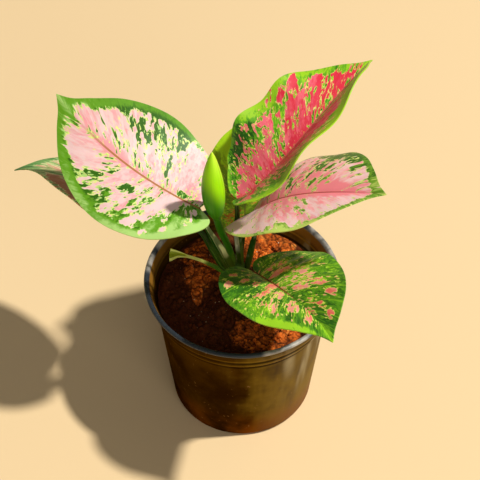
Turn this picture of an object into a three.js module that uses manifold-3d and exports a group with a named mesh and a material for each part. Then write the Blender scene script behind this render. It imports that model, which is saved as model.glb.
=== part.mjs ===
// Potted chinese evergreen in a round nursery pot. Millimetres, +Z up.
// The origin is the centre of the pot's underside.
import * as THREE from 'three';
import { mergeVertices } from 'three/addons/utils/BufferGeometryUtils.js';
import Module from 'manifold-3d';

const wasm = await Module();
wasm.setup();

// Pot
const POT_HEIGHT = 92;
const RIM_RADIUS = 52;
const BASE_RADIUS = 39;
const WALL = 1.3;
const WALL_TOP_HEIGHT = 76;
const WALL_TOP_RADIUS = 46.2;
const COLLAR_STEP = 1.2;
const BEAD_WIDTH = 2.4;
const FOOT_HEIGHT = 1.4;
const FOOT_WIDTH = 2.8;
const PAD_RADIUS = 15;
const FLOOR_TOP = 2.8;
const DRAIN_COUNT = 6;
const DRAIN_RADIUS = 3;
const DRAIN_CIRCLE = 24;
const ROUND_SIDES = 48;

// Soil
const SOIL_LEVEL = 80;
const SOIL_MOUND = 2.5;
const SOIL_LUMP = 0.55;
const SOIL_RINGS = [0, 7, 14, 21, 28, 35, 40.5];
const CLEARANCE = 0.3;

// Stem
const STEM_AXIS = new THREE.Vector3(-2, 3.5, 0);
const STEM_FOOT = 46;
const STEM_TOP = 99;
const STEM_RADIUS = 3.3;
const STEM_SIDES = 16;
const LEAF_SCARS = [85, 92];

// Leaves
const BLADE_THICKNESS = 0.95;
const EDGE_THICKNESS = 0.62;
const PETIOLE_RADIUS = 1.75;
const RIB_RADIUS = 1.15;
const RIB_TIP_RADIUS = 0.35;
const BLADE_ROWS = 20;
const HALF_COLUMNS = 5;
const RIB_ROWS = [6, 8, 10, 12, 14, 16, 18, 19];
const RIB_LEAD = 2.2;
const VEIN_SWEEP = 1.2;

const UP = new THREE.Vector3(0, 0, 1);
const rad = THREE.MathUtils.degToRad;
const point = (x, y, z) => new THREE.Vector3(x, y, z);

// Half a blade's outline: how far along the rib, and how far out, as shares of length and half width
const HALF_OUTLINE = new THREE.SplineCurve([
  new THREE.Vector2(0, 0),
  new THREE.Vector2(-0.09, 0.15),
  new THREE.Vector2(-0.07, 0.4),
  new THREE.Vector2(0.04, 0.72),
  new THREE.Vector2(0.18, 0.92),
  new THREE.Vector2(0.36, 1),
  new THREE.Vector2(0.55, 0.92),
  new THREE.Vector2(0.72, 0.7),
  new THREE.Vector2(0.85, 0.38),
  new THREE.Vector2(0.93, 0.14),
  new THREE.Vector2(1, 0),
]);

// Each leaf: the four handles of its rib, half widths, roll at base and tip, then fold and curl of the
// left and right halves in degrees, the wave of its edge, and the way its petiole takes from the stem
const LEAVES = [
  {
    name: 'leaf_left_large',
    colour: 0xeec4bd,
    rib: [point(-21, -10, 157), point(-46, 3, 160), point(-72, 20, 168), point(-92, 40, 186)],
    halfWidth: { left: 31.5, right: 34 },
    roll: { base: -5, tip: 42 },
    fold: { left: -5, right: -2 },
    curl: { left: -6, right: 12 },
    wave: { height: 0.6, count: 2.5, phase: 0.2 },
    lobe: { left: 1, right: 0.1 },
    petiole: [point(-3.2, 0.7, 92), point(-7.4, -1, 104), point(-11.8, -2.4, 118), point(-17, -4.4, 134),
      point(-20.5, -7.5, 148)],
  },
  {
    name: 'leaf_left_lower',
    colour: 0x9fb58a,
    rib: [point(-38, 9, 128), point(-68, 18, 127), point(-90, 49, 134), point(-121, 46, 125)],
    halfWidth: { left: 22, right: 19.5 },
    roll: { base: -1, tip: -22 },
    fold: { left: 15, right: 9 },
    curl: { left: -8, right: -7 },
    wave: { height: 0.6, count: 3, phase: 0.5 },
    lobe: { left: 1, right: 1 },
    petiole: [point(-4.8, 4.4, 90), point(-10.3, 3, 98), point(-15.7, 3, 111), point(-21, 4, 123),
      point(-28, 6, 129.5)],
  },
  {
    name: 'leaf_back',
    colour: 0x8f9a2c,
    rib: [point(1, 16.5, 114), point(2, 25.5, 132), point(1, 33.5, 152), point(9, 50.5, 164)],
    halfWidth: { left: 22, right: 19 },
    roll: { base: 1, tip: 0 },
    fold: { left: 9, right: -16 },
    curl: { left: -9, right: -6 },
    wave: { height: 0.6, count: 2.5, phase: 0 },
    lobe: { left: 1, right: 1 },
    petiole: [point(-2.3, 6.6, 91), point(-1.4, 10, 99), point(0.2, 13.5, 107)],
  },
  {
    name: 'leaf_upper_right',
    colour: 0xd2545c,
    rib: [point(-2.5, -2, 155), point(12.5, 0, 159), point(38.5, 16, 203), point(65.5, 62, 188.5)],
    halfWidth: { left: 31, right: 27.5 },
    roll: { base: 1, tip: 27 },
    fold: { left: 21, right: 38 },
    curl: { left: 6, right: -6 },
    wave: { height: 3, count: 3, phase: 0.13 },
    lobe: { left: 0.3, right: 0.2 },
    petiole: [point(-0.9, 2.8, 98.2), point(-1.1, 3.8, 106), point(-2, 6, 117), point(-2.5, 6, 131),
      point(-2.8, 2.4, 144)],
  },
  {
    name: 'leaf_right',
    colour: 0xe9a99a,
    rib: [point(7, 6, 136), point(16, -0.5, 158.5), point(40.5, -6.5, 166), point(67, -24.5, 182.5)],
    halfWidth: { left: 35, right: 33 },
    roll: { base: 3, tip: -4 },
    fold: { left: 27, right: 20 },
    curl: { left: -69, right: -24 },
    wave: { height: 0.9, count: 2.5, phase: 0.3 },
    lobe: { left: 1, right: 1 },
    petiole: [point(1.3, 4.8, 90), point(3.3, 4.9, 98), point(4.8, 5.6, 108), point(6.6, 6, 122)],
  },
  {
    name: 'leaf_front',
    colour: 0x5f8c34,
    rib: [point(6, -14, 113), point(20, -36, 126), point(35, -56, 135), point(42, -77, 138)],
    halfWidth: { left: 30, right: 30 },
    roll: { base: 9, tip: -12 },
    fold: { left: 27, right: 22 },
    curl: { left: -30, right: -22 },
    wave: { height: 0.8, count: 2.5, phase: 0.1 },
    lobe: { left: 1, right: 1 },
    petiole: [point(-0.5, 1.2, 88), point(2.4, -2.6, 97), point(5, -8, 105)],
  },
];

// Flower bud: the way of its stalk, then its rolled spathe
const BUD_WAY = [point(-4.4, 4.8, 97), point(-5.7, 2.1, 107), point(-8, -3, 123), point(-11.4, -8.6, 141),
  point(-13.1, -11.6, 156), point(-14.2, -12, 170), point(-14.5, -12.2, 184), point(-14.2, -12, 198)];
const BUD_STALK_RADIUS = 1.8;
const BUD_NECK_SHARE = 0.54;
const BUD_RADIUS = 5.4;
const BUD_SEAM = 0.55;
const BUD_STATIONS = 18;
const BUD_SIDES = 14;

// Cut petiole: it lies low over the soil, and its open end flares
const CUT_WAY = [point(-4, 4, 86), point(-13, 7.5, 90), point(-23, 12.5, 91), point(-32, 16.5, 90),
  point(-39.2, 17, 90.6)];
const CUT_RADIUS = 1.5;

// A closed body from a three.js geometry, for cutting and joining
function solidOf(geometry) {
  const bare = geometry.clone();
  bare.deleteAttribute('normal');
  bare.deleteAttribute('uv');
  const merged = mergeVertices(bare, 1e-4);
  const mesh = new wasm.Mesh({
    numProp: 3,
    vertProperties: new Float32Array(merged.attributes.position.array),
    triVerts: new Uint32Array(merged.index.array),
  });
  return new wasm.Manifold(mesh);
}

function geometryOf(solid) {
  const mesh = solid.getMesh();
  const geometry = new THREE.BufferGeometry();
  geometry.setAttribute('position', new THREE.BufferAttribute(mesh.vertProperties, 3));
  geometry.setIndex(new THREE.BufferAttribute(mesh.triVerts, 1));
  geometry.computeVertexNormals();
  return geometry;
}

// An indexed geometry from points and triangles, turned so that its faces point out
function closedGeometry(points, triangles) {
  let volume = 0;
  for (const [a, b, c] of triangles) {
    volume += points[a].dot(points[b].clone().cross(points[c]));
  }
  const outward = volume > 0 ? triangles : triangles.map(([a, b, c]) => [a, c, b]);
  const geometry = new THREE.BufferGeometry().setFromPoints(points);
  geometry.setIndex(outward.flat());
  return geometry;
}

// A body turned round the Z axis from [radius, height] pairs that start and end on the axis
function turned(profile, sides) {
  const outline = profile.map(([radius, height]) => new THREE.Vector2(radius, height));
  const lathe = new THREE.LatheGeometry(outline, sides);
  lathe.rotateX(Math.PI / 2);
  lathe.deleteAttribute('normal');
  lathe.deleteAttribute('uv');
  const merged = mergeVertices(lathe, 1e-4);
  const points = [];
  for (let i = 0; i < merged.attributes.position.count; i += 1) {
    points.push(new THREE.Vector3().fromBufferAttribute(merged.attributes.position, i));
  }
  const index = merged.index.array;
  const triangles = [];
  for (let i = 0; i < index.length; i += 3) {
    const corner = [index[i], index[i + 1], index[i + 2]];
    if (new Set(corner).size === 3) triangles.push(corner);
  }
  return closedGeometry(points, triangles);
}

// Radius of the pot's outer wall at a height, below the collar
function wallRadius(height) {
  return BASE_RADIUS + (WALL_TOP_RADIUS - BASE_RADIUS) * (height / WALL_TOP_HEIGHT);
}

function potGeometry() {
  const ringTop = WALL_TOP_HEIGHT + 6;
  const ringRadius = WALL_TOP_RADIUS + COLLAR_STEP;
  const bandFoot = ringTop + 1;
  const bandRadius = ringRadius + COLLAR_STEP;
  const beadFoot = POT_HEIGHT - 2.6;
  const profile = [
    [0, 0],
    [PAD_RADIUS, 0],
    [PAD_RADIUS + 0.8, FOOT_HEIGHT],
    [BASE_RADIUS - 2 - FOOT_WIDTH, FOOT_HEIGHT],
    [BASE_RADIUS - 1.6 - FOOT_WIDTH, 0],
    [BASE_RADIUS - 1.6, 0],
    [BASE_RADIUS - 0.4, 0.7],
    [wallRadius(2.4), 2.4],
    [WALL_TOP_RADIUS, WALL_TOP_HEIGHT],
    [ringRadius - 0.2, WALL_TOP_HEIGHT + 0.8],
    [ringRadius + 0.3, ringTop],
    [bandRadius - 0.1, bandFoot],
    [bandRadius + 1.4, beadFoot],
    [RIM_RADIUS - 0.3, beadFoot + 0.6],
    [RIM_RADIUS, POT_HEIGHT - 1.1],
    [RIM_RADIUS - 0.5, POT_HEIGHT - 0.2],
    [RIM_RADIUS - 1.2, POT_HEIGHT],
    [RIM_RADIUS - BEAD_WIDTH, POT_HEIGHT - 0.4],
    [bandRadius - WALL + 1.3, beadFoot - 0.3],
    [bandRadius - WALL - 0.1, bandFoot + 0.6],
    [ringRadius - WALL, ringTop - 0.6],
    [WALL_TOP_RADIUS - WALL, WALL_TOP_HEIGHT],
    [wallRadius(FLOOR_TOP) - WALL, FLOOR_TOP + 1.6],
    [wallRadius(FLOOR_TOP) - WALL - 1.4, FLOOR_TOP],
    [0, FLOOR_TOP],
  ];
  let pot = solidOf(turned(profile, ROUND_SIDES));
  for (let i = 0; i < DRAIN_COUNT; i += 1) {
    const angle = (i + 0.5) * ((2 * Math.PI) / DRAIN_COUNT);
    const drill = new THREE.CylinderGeometry(DRAIN_RADIUS, DRAIN_RADIUS, 4 * FLOOR_TOP, 12);
    drill.rotateX(Math.PI / 2);
    drill.translate(DRAIN_CIRCLE * Math.cos(angle), DRAIN_CIRCLE * Math.sin(angle), 0);
    pot = pot.subtract(solidOf(drill));
  }
  return geometryOf(pot);
}

// Height of the soil's lumpy top at a place
function soilHeight(x, y) {
  const mound = SOIL_MOUND * Math.max(0, 1 - Math.hypot(x, y) / 40);
  const lumps = Math.sin(0.31 * x + 0.17 * y) + Math.sin(0.23 * y - 0.29 * x + 1.3)
    + 0.7 * Math.sin(0.55 * x + 0.8) * Math.cos(0.47 * y);
  return SOIL_LEVEL + mound + SOIL_LUMP * lumps;
}

// The stem's own shape, or one grown by a clearance for trimming what meets it
function stemSolid(grow) {
  const profile = [[0, STEM_FOOT - grow], [STEM_RADIUS + grow, STEM_FOOT - grow]];
  for (const scar of LEAF_SCARS) {
    profile.push([STEM_RADIUS + grow, scar - 0.9]);
    profile.push([STEM_RADIUS + 0.25 + grow, scar]);
    profile.push([STEM_RADIUS + grow, scar + 0.9]);
  }
  profile.push([STEM_RADIUS + grow, STEM_TOP - 0.8]);
  profile.push([STEM_RADIUS - 0.8 + grow, STEM_TOP + grow]);
  profile.push([0, STEM_TOP + grow]);
  const stem = turned(profile, STEM_SIDES);
  stem.translate(STEM_AXIS.x, STEM_AXIS.y, 0);
  return solidOf(stem);
}

function soilGeometry(stemRoom) {
  const gap = CLEARANCE + 0.05;
  const inner = (height) => wallRadius(height) - WALL - gap;
  const profile = [[0, FLOOR_TOP + gap]];
  profile.push([inner(FLOOR_TOP) - 1.9, FLOOR_TOP + gap]);
  profile.push([inner(FLOOR_TOP) - 0.3, FLOOR_TOP + 2]);
  profile.push([inner(WALL_TOP_HEIGHT), WALL_TOP_HEIGHT]);
  const rings = SOIL_RINGS.slice(1).reverse();
  profile.push([inner(WALL_TOP_HEIGHT) + 0.5, SOIL_LEVEL - 1]);
  for (const radius of rings) profile.push([radius, SOIL_LEVEL]);
  profile.push([SOIL_RINGS[0], SOIL_LEVEL]);
  const soil = turned(profile, ROUND_SIDES);
  const position = soil.attributes.position;
  for (let i = 0; i < position.count; i += 1) {
    if (position.getZ(i) > SOIL_LEVEL - 0.5) {
      position.setZ(i, soilHeight(position.getX(i), position.getY(i)));
    }
  }
  return geometryOf(solidOf(soil).subtract(stemRoom));
}

// The rib's frame at a share of its length: its point, its direction, the way across and the way up
function ribFrame(leaf, share) {
  const inside = THREE.MathUtils.clamp(share, 0, 1);
  const along = leaf.curve.getTangentAt(inside);
  const place = leaf.curve.getPointAt(inside);
  place.addScaledVector(along, Math.min(share, 0) * leaf.length);
  const level = along.clone().cross(UP).normalize();
  const lift = level.clone().cross(along);
  const roll = rad(THREE.MathUtils.lerp(leaf.roll.base, leaf.roll.tip, inside));
  const across = level.clone().multiplyScalar(Math.cos(roll)).addScaledVector(lift, Math.sin(roll));
  const up = lift.clone().multiplyScalar(Math.cos(roll)).addScaledVector(level, -Math.sin(roll));
  return { place, along, across, up };
}

// A point of the blade: from base to tip, and from -1 at the left edge over the rib to 1 at the right
function bladePoint(leaf, fromBase, fromRib) {
  const side = fromRib < 0 ? 'left' : 'right';
  const sign = fromRib < 0 ? -1 : 1;
  const reach = Math.abs(fromRib);
  const edge = HALF_OUTLINE.getPoint(fromBase);
  if (edge.x < 0) edge.x *= leaf.lobe[side];
  const ribShare = fromBase ** RIB_LEAD;
  const share = ribShare + (edge.x - ribShare) * reach ** VEIN_SWEEP;
  const width = leaf.halfWidth[side];
  const out = width * edge.y * reach;
  const tilt = rad(leaf.fold[side] + (leaf.curl[side] * out) / (2 * width));
  const turn = side === 'left' ? 0.3 : 0;
  const ripple = Math.sin(2 * Math.PI * (leaf.wave.count * share + leaf.wave.phase + turn));
  const rise = out * Math.sin(tilt) + leaf.wave.height * (out / width) ** 2 * ripple;
  const frame = ribFrame(leaf, share);
  return frame.place
    .addScaledVector(frame.across, sign * out * Math.cos(tilt))
    .addScaledVector(frame.up, rise);
}

// The blade as one thin closed body, split into triangles alike on both faces
function bladeSolid(leaf) {
  const columns = 2 * HALF_COLUMNS + 1;
  const middle = [bladePoint(leaf, 0, 0)];
  const outness = [0];
  for (let row = 1; row < BLADE_ROWS; row += 1) {
    for (let column = 0; column < columns; column += 1) {
      const fromRib = (column - HALF_COLUMNS) / HALF_COLUMNS;
      middle.push(bladePoint(leaf, row / BLADE_ROWS, fromRib));
      outness.push(Math.abs(fromRib));
    }
  }
  middle.push(bladePoint(leaf, 1, 0));
  outness.push(1);
  const tip = middle.length - 1;
  const at = (row, column) => 1 + (row - 1) * columns + column;
  const face = [];
  for (let column = 0; column < columns - 1; column += 1) {
    face.push([0, at(1, column), at(1, column + 1)]);
    face.push([tip, at(BLADE_ROWS - 1, column + 1), at(BLADE_ROWS - 1, column)]);
  }
  for (let row = 1; row < BLADE_ROWS - 1; row += 1) {
    for (let column = 0; column < columns - 1; column += 1) {
      const corners = [at(row, column), at(row, column + 1), at(row + 1, column + 1), at(row + 1, column)];
      const mirrored = column < HALF_COLUMNS;
      if (mirrored) {
        face.push([corners[0], corners[3], corners[1]], [corners[1], corners[3], corners[2]]);
      } else {
        face.push([corners[0], corners[3], corners[2]], [corners[0], corners[2], corners[1]]);
      }
    }
  }
  const sheet = new THREE.BufferGeometry().setFromPoints(middle);
  sheet.setIndex(face.flat());
  sheet.computeVertexNormals();
  const points = [];
  for (const sign of [1, -1]) {
    middle.forEach((place, i) => {
      const normal = new THREE.Vector3().fromBufferAttribute(sheet.attributes.normal, i);
      const half = THREE.MathUtils.lerp(BLADE_THICKNESS, EDGE_THICKNESS, outness[i]) / 2;
      points.push(place.clone().addScaledVector(normal, sign * half));
    });
  }
  const lower = middle.length;
  const triangles = [...face, ...face.map(([a, b, c]) => [a + lower, c + lower, b + lower])];
  const rim = [0];
  for (let row = 1; row < BLADE_ROWS; row += 1) rim.push(at(row, 0));
  rim.push(tip);
  for (let row = BLADE_ROWS - 1; row > 0; row -= 1) rim.push(at(row, columns - 1));
  const [first, second] = [rim[0], rim[1]];
  const along = face.some((t) => t.some((corner, i) => corner === first && t[(i + 1) % 3] === second));
  rim.forEach((corner, i) => {
    const next = rim[(i + 1) % rim.length];
    const [a, b] = along ? [next, corner] : [corner, next];
    triangles.push([a, b, b + lower], [a, b + lower, a + lower]);
  });
  return solidOf(closedGeometry(points, triangles));
}

// One ring of a channelled stalk: round below, with two rims and a shallow groove above
function channelRing({ centre, across, up, radius, rim, groove }) {
  const ring = [];
  const spread = rad(118);
  const arcSteps = 6;
  for (let i = 0; i <= arcSteps; i += 1) {
    const angle = -spread + (2 * spread * i) / arcSteps;
    const lift = -radius * Math.cos(angle) + rim * Math.max(0, Math.abs(angle) / spread - 0.6);
    ring.push([radius * Math.sin(angle) * (1 + 0.25 * rim), lift]);
  }
  const [rimX, rimY] = ring[ring.length - 1];
  for (const share of [0.62, 0, -0.62]) {
    ring.push([rimX * share, rimY - groove * (1 - share ** 2)]);
  }
  return ring.map(([x, y]) => centre.clone().addScaledVector(across, x).addScaledVector(up, y));
}

// A closed body through rings with the same number of points
function loftSolid(rings) {
  const count = rings[0].length;
  const points = rings.flat();
  const triangles = [];
  for (let k = 0; k < rings.length - 1; k += 1) {
    for (let i = 0; i < count; i += 1) {
      const a = k * count + i;
      const b = k * count + ((i + 1) % count);
      triangles.push([a, b, b + count], [a, b + count, a + count]);
    }
  }
  for (const [ring, flip] of [[0, true], [rings.length - 1, false]]) {
    const centre = rings[ring].reduce((sum, p) => sum.add(p), point(0, 0, 0)).divideScalar(count);
    points.push(centre);
    for (let i = 0; i < count; i += 1) {
      const a = ring * count + i;
      const b = ring * count + ((i + 1) % count);
      triangles.push(flip ? [points.length - 1, b, a] : [points.length - 1, a, b]);
    }
  }
  return solidOf(closedGeometry(points, triangles));
}

// Turns a sideways direction square to the way a stalk runs, and gives both cross directions
function squareTo(along, sideways) {
  const across = sideways.clone().addScaledVector(along, -sideways.dot(along)).normalize();
  return { across, up: across.clone().cross(along).normalize() };
}

// Petiole and midrib in one piece: up from the stem, then along the underside of the blade
function petioleSolid(leaf) {
  const base = ribFrame(leaf, 0);
  const heading = leaf.rib[3].clone().sub(leaf.rib[0]).setZ(0).normalize();
  const level = heading.cross(UP);
  const joint = base.place.clone().addScaledVector(base.up, -RIB_RADIUS);
  const way = new THREE.CatmullRomCurve3([...leaf.petiole, joint], false, 'centripetal');
  const rings = [];
  const petioleSteps = 8;
  for (let k = 0; k <= petioleSteps; k += 1) {
    const share = k / petioleSteps;
    const along = way.getTangentAt(share);
    const { across, up } = squareTo(along, level.clone().lerp(base.across, share ** 2));
    const opening = THREE.MathUtils.smoothstep(share, 0.05, 0.2);
    const sheath = opening * (1 - THREE.MathUtils.smoothstep(share, 0.3, 0.65));
    rings.push(channelRing({
      centre: way.getPointAt(share),
      across,
      up,
      radius: THREE.MathUtils.lerp(PETIOLE_RADIUS, RIB_RADIUS, share),
      rim: 1.1 * sheath,
      groove: 0.25 + 0.9 * sheath,
    }));
  }
  for (const row of RIB_ROWS) {
    const share = (row / BLADE_ROWS) ** RIB_LEAD;
    const frame = ribFrame(leaf, share);
    const radius = THREE.MathUtils.lerp(RIB_RADIUS, RIB_TIP_RADIUS, share);
    rings.push(channelRing({
      centre: frame.place.addScaledVector(frame.up, 0.1 - radius),
      across: frame.across,
      up: frame.up,
      radius,
      rim: 0,
      groove: 0,
    }));
  }
  return loftSolid(rings);
}

function leafGeometry(leaf, stemRoom) {
  leaf.curve = new THREE.CubicBezierCurve3(...leaf.rib);
  leaf.length = leaf.curve.getLength();
  return geometryOf(petioleSolid(leaf).subtract(stemRoom).add(bladeSolid(leaf)));
}

// Radius of the bud along its way: a slim stalk, then a long spathe rolled to a point
function budRadius(share) {
  const spathe = (share - BUD_NECK_SHARE) / (1 - BUD_NECK_SHARE);
  if (spathe <= 0) return BUD_STALK_RADIUS;
  const belly = Math.sin(Math.PI * spathe ** 0.8) ** 0.75;
  return Math.max(BUD_STALK_RADIUS * (1 - spathe), BUD_RADIUS * belly, 0.3);
}

function budGeometry(stemRoom) {
  const way = new THREE.CatmullRomCurve3(BUD_WAY, false, 'centripetal');
  const rings = [];
  for (let k = 0; k <= BUD_STATIONS; k += 1) {
    const share = k / BUD_STATIONS;
    const { across, up } = squareTo(way.getTangentAt(share), point(1, 0.3, 0));
    const radius = budRadius(share);
    const seam = share > BUD_NECK_SHARE ? (BUD_SEAM * radius) / BUD_RADIUS : 0;
    const centre = way.getPointAt(share);
    const ring = [];
    for (let i = 0; i < BUD_SIDES; i += 1) {
      const turn = i / BUD_SIDES;
      const size = radius + seam * (turn - 0.5);
      const angle = 2 * Math.PI * turn;
      ring.push(centre.clone().addScaledVector(across, size * Math.cos(angle))
        .addScaledVector(up, size * Math.sin(angle)));
    }
    rings.push(ring);
  }
  return geometryOf(loftSolid(rings).subtract(stemRoom));
}

function cutPetioleGeometry(stemRoom) {
  const way = new THREE.CatmullRomCurve3(CUT_WAY, false, 'centripetal');
  const rings = [];
  const steps = 12;
  for (let k = 0; k <= steps; k += 1) {
    const share = k / steps;
    const flare = THREE.MathUtils.smoothstep(share, 0.62, 1);
    const along = way.getTangentAt(share);
    const { across, up } = squareTo(along, along.clone().cross(UP));
    rings.push(channelRing({
      centre: way.getPointAt(share),
      across,
      up,
      radius: CUT_RADIUS * (1 + 0.55 * flare),
      rim: 0.3 + 0.8 * flare,
      groove: 0.5 + 1.5 * flare,
    }));
  }
  return geometryOf(loftSolid(rings).subtract(stemRoom));
}

const plant = new THREE.Group();

function addPiece(name, geometry, colour, roughness) {
  const material = new THREE.MeshStandardMaterial({ color: colour, roughness, metalness: 0 });
  const mesh = new THREE.Mesh(geometry, material);
  mesh.name = name;
  plant.add(mesh);
}

const stemRoom = stemSolid(CLEARANCE);
addPiece('pot', potGeometry(), 0x2b1c12, 0.45);
addPiece('soil', soilGeometry(stemRoom), 0x7a3a16, 0.95);
addPiece('stem', geometryOf(stemSolid(0)), 0x3f6a24, 0.6);
for (const leaf of LEAVES) {
  addPiece(leaf.name, leafGeometry(leaf, stemRoom), leaf.colour, 0.4);
}
addPiece('flower_bud', budGeometry(stemRoom), 0x9bc41c, 0.45);
addPiece('cut_petiole', cutPetioleGeometry(stemRoom), 0xb5bf3a, 0.55);

export default plant;
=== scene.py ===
"""A young potted chinese evergreen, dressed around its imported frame.

The plant's pieces replace the frame's solids one for one. Their shapes come from the same driving sizes,
given here in millimetres and turned to metres as each mesh is made.
"""

import logging
import math
import random
from bisect import bisect_right
from dataclasses import dataclass
from enum import Enum
from functools import reduce
from typing import Callable, Sequence

import bpy
from mathutils import Matrix, Vector, noise


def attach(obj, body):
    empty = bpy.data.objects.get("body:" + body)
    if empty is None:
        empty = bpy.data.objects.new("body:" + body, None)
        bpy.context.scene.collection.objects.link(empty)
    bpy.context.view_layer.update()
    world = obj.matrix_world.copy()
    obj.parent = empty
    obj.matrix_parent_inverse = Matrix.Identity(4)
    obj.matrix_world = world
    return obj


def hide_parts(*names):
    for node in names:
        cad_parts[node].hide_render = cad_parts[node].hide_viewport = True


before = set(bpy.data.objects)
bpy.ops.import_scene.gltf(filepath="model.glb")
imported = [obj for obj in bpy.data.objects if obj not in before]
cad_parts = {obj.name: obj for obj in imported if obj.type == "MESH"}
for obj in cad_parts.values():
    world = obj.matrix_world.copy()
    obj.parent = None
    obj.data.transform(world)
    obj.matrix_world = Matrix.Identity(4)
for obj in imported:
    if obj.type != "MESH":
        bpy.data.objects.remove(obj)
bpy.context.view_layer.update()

MM = 0.001
ROOT_BODY = "root"
UP = Vector((0, 0, 1))

Pair = tuple[float, float]
Place = tuple[float, float, float]
Colour = tuple[float, float, float]
Piece = bpy.types.Object
Material = bpy.types.Material
Socket = bpy.types.NodeSocket

log = logging.getLogger("potted_evergreen")


class Slot(Enum):
    """The record's material slots."""

    POT = "pot_plastic"
    SOIL = "soil"
    STEM = "stem"
    PALE_PINK = "leaf_pale_pink"
    GREEN = "leaf_green"
    BACK = "leaf_back"
    CRIMSON = "leaf_crimson"
    SALMON = "leaf_salmon"
    BUD = "bud"
    PETIOLE = "petiole"


def blend_numbers(start: float, end: float, share: float) -> float:
    """The number at a share of the way from start to end."""
    return start + (end - start) * share


def smooth_step(value: float, low: float, high: float) -> float:
    """0 below low, 1 above high, and an even S between them."""
    share = min(max((value - low) / (high - low), 0.0), 1.0)
    return share * share * (3 - 2 * share)


def dimmed(colour: Colour, share: float) -> Colour:
    """A share of a colour's light."""
    return tuple(share * channel for channel in colour)


def round_place(radius: float, angle: float, height: float) -> Vector:
    """A place in millimetres from its radius, angle and height."""
    return Vector((radius * math.cos(angle), radius * math.sin(angle), height))


class Way:
    """A curve on which places are asked for by share of its length."""

    STEPS = 200
    NEAR = 0.0001

    def __init__(self, handles: Sequence[Sequence[float]]) -> None:
        """Keeps the handles and measures the curve.

        Args:
            handles: The curve's handles, in millimetres.
        """
        self.handles = [Vector(handle) for handle in handles]
        places = [self.raw(step / self.STEPS) for step in range(self.STEPS + 1)]
        self.lengths = [0.0]
        for last, place in zip(places, places[1:]):
            self.lengths.append(self.lengths[-1] + (place - last).length)

    @property
    def length(self) -> float:
        """The curve's length in millimetres."""
        return self.lengths[-1]

    def raw(self, t: float) -> Vector:
        """The place at the curve's own parameter."""
        raise NotImplementedError

    def parameter(self, share: float) -> float:
        """Finds a place on the curve by length.

        Args:
            share: The share of the curve's length that lies before the place.

        Returns:
            The curve's own parameter there, from 0 to 1.
        """
        target = min(max(share, 0.0), 1.0) * self.length
        after = bisect_right(self.lengths, target, 1, self.STEPS)
        before = after - 1
        stretch = self.lengths[after] - self.lengths[before]
        part = (target - self.lengths[before]) / stretch if stretch else 0.0
        return (before + part) / self.STEPS

    def at(self, share: float) -> Vector:
        """The place at a share of the length."""
        return self.raw(self.parameter(share))

    def direction(self, share: float) -> Vector:
        """The way the curve runs at a share of the length."""
        t = self.parameter(share)
        return (self.raw(min(t + self.NEAR, 1)) - self.raw(max(t - self.NEAR, 0))).normalized()


class RibCurve(Way):
    """A leaf's rib: a cubic Bezier curve through four handles."""

    def raw(self, t: float) -> Vector:
        """The place at the curve's own parameter."""
        (a, b, c, d), s = self.handles, 1 - t
        return a * s**3 + b * (3 * s * s * t) + c * (3 * s * t * t) + d * t**3


class StalkCurve(Way):
    """A stalk's way: a centripetal spline through all its handles."""

    def raw(self, t: float) -> Vector:
        """Works out a place on the spline.

        Args:
            t: The spline's own parameter, from 0 to 1.

        Returns:
            The place in millimetres.
        """
        handles = self.handles
        last = len(handles) - 1
        first = min(int(last * t), last - 1)
        part = last * t - first
        p1, p2 = handles[first], handles[first + 1]
        p0 = handles[first - 1] if first > 0 else p1 * 2 - p2
        p3 = handles[first + 2] if first + 2 <= last else p2 * 2 - p1
        d0, d1, d2 = ((b - a).length ** 0.5 for a, b in ((p0, p1), (p1, p2), (p2, p3)))
        t1 = ((p1 - p0) / d0 - (p2 - p0) / (d0 + d1) + (p2 - p1) / d1) * d1
        t2 = ((p2 - p1) / d1 - (p3 - p1) / (d1 + d2) + (p3 - p2) / d2) * d1
        cubic = p1 * 2 - p2 * 2 + t1 + t2
        square = p2 * 3 - p1 * 3 - t1 * 2 - t2
        return cubic * part**3 + square * part**2 + t1 * part + p1


def even_spline(points: Sequence[Pair], t: float) -> Pair:
    """A point of the even spline through 2-D points.

    Args:
        points: The points that the spline passes through.
        t: How far along, from 0 to 1, with the same step from point to point.

    Returns:
        The point's two coordinates.
    """
    last = len(points) - 1
    first = min(int(last * t), last)
    part = last * t - first
    corners = [points[min(max(first + shift, 0), last)] for shift in (-1, 0, 1, 2)]

    def one(a: float, b: float, c: float, d: float) -> float:
        """Works out one coordinate.

        Args:
            a: The point before the stretch.
            b: The stretch's start.
            c: Its end.
            d: The point after it.

        Returns:
            The coordinate on the spline.
        """
        v0, v1 = (c - a) / 2, (d - b) / 2
        cubic = (2 * b - 2 * c + v0 + v1) * part**3
        return cubic + (-3 * b + 3 * c - 2 * v0 - v1) * part**2 + v0 * part + b

    return tuple(one(*values) for values in zip(*corners))


def square_to(along: Vector, sideways: Vector) -> tuple[Vector, Vector]:
    """Turns a sideways direction square to the way a stalk runs.

    Args:
        along: The way the stalk runs.
        sideways: The direction to turn.

    Returns:
        The direction across, and the one up out of the stalk's groove.
    """
    across = (sideways - along * sideways.dot(along)).normalized()
    return across, across.cross(along).normalized()


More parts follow.
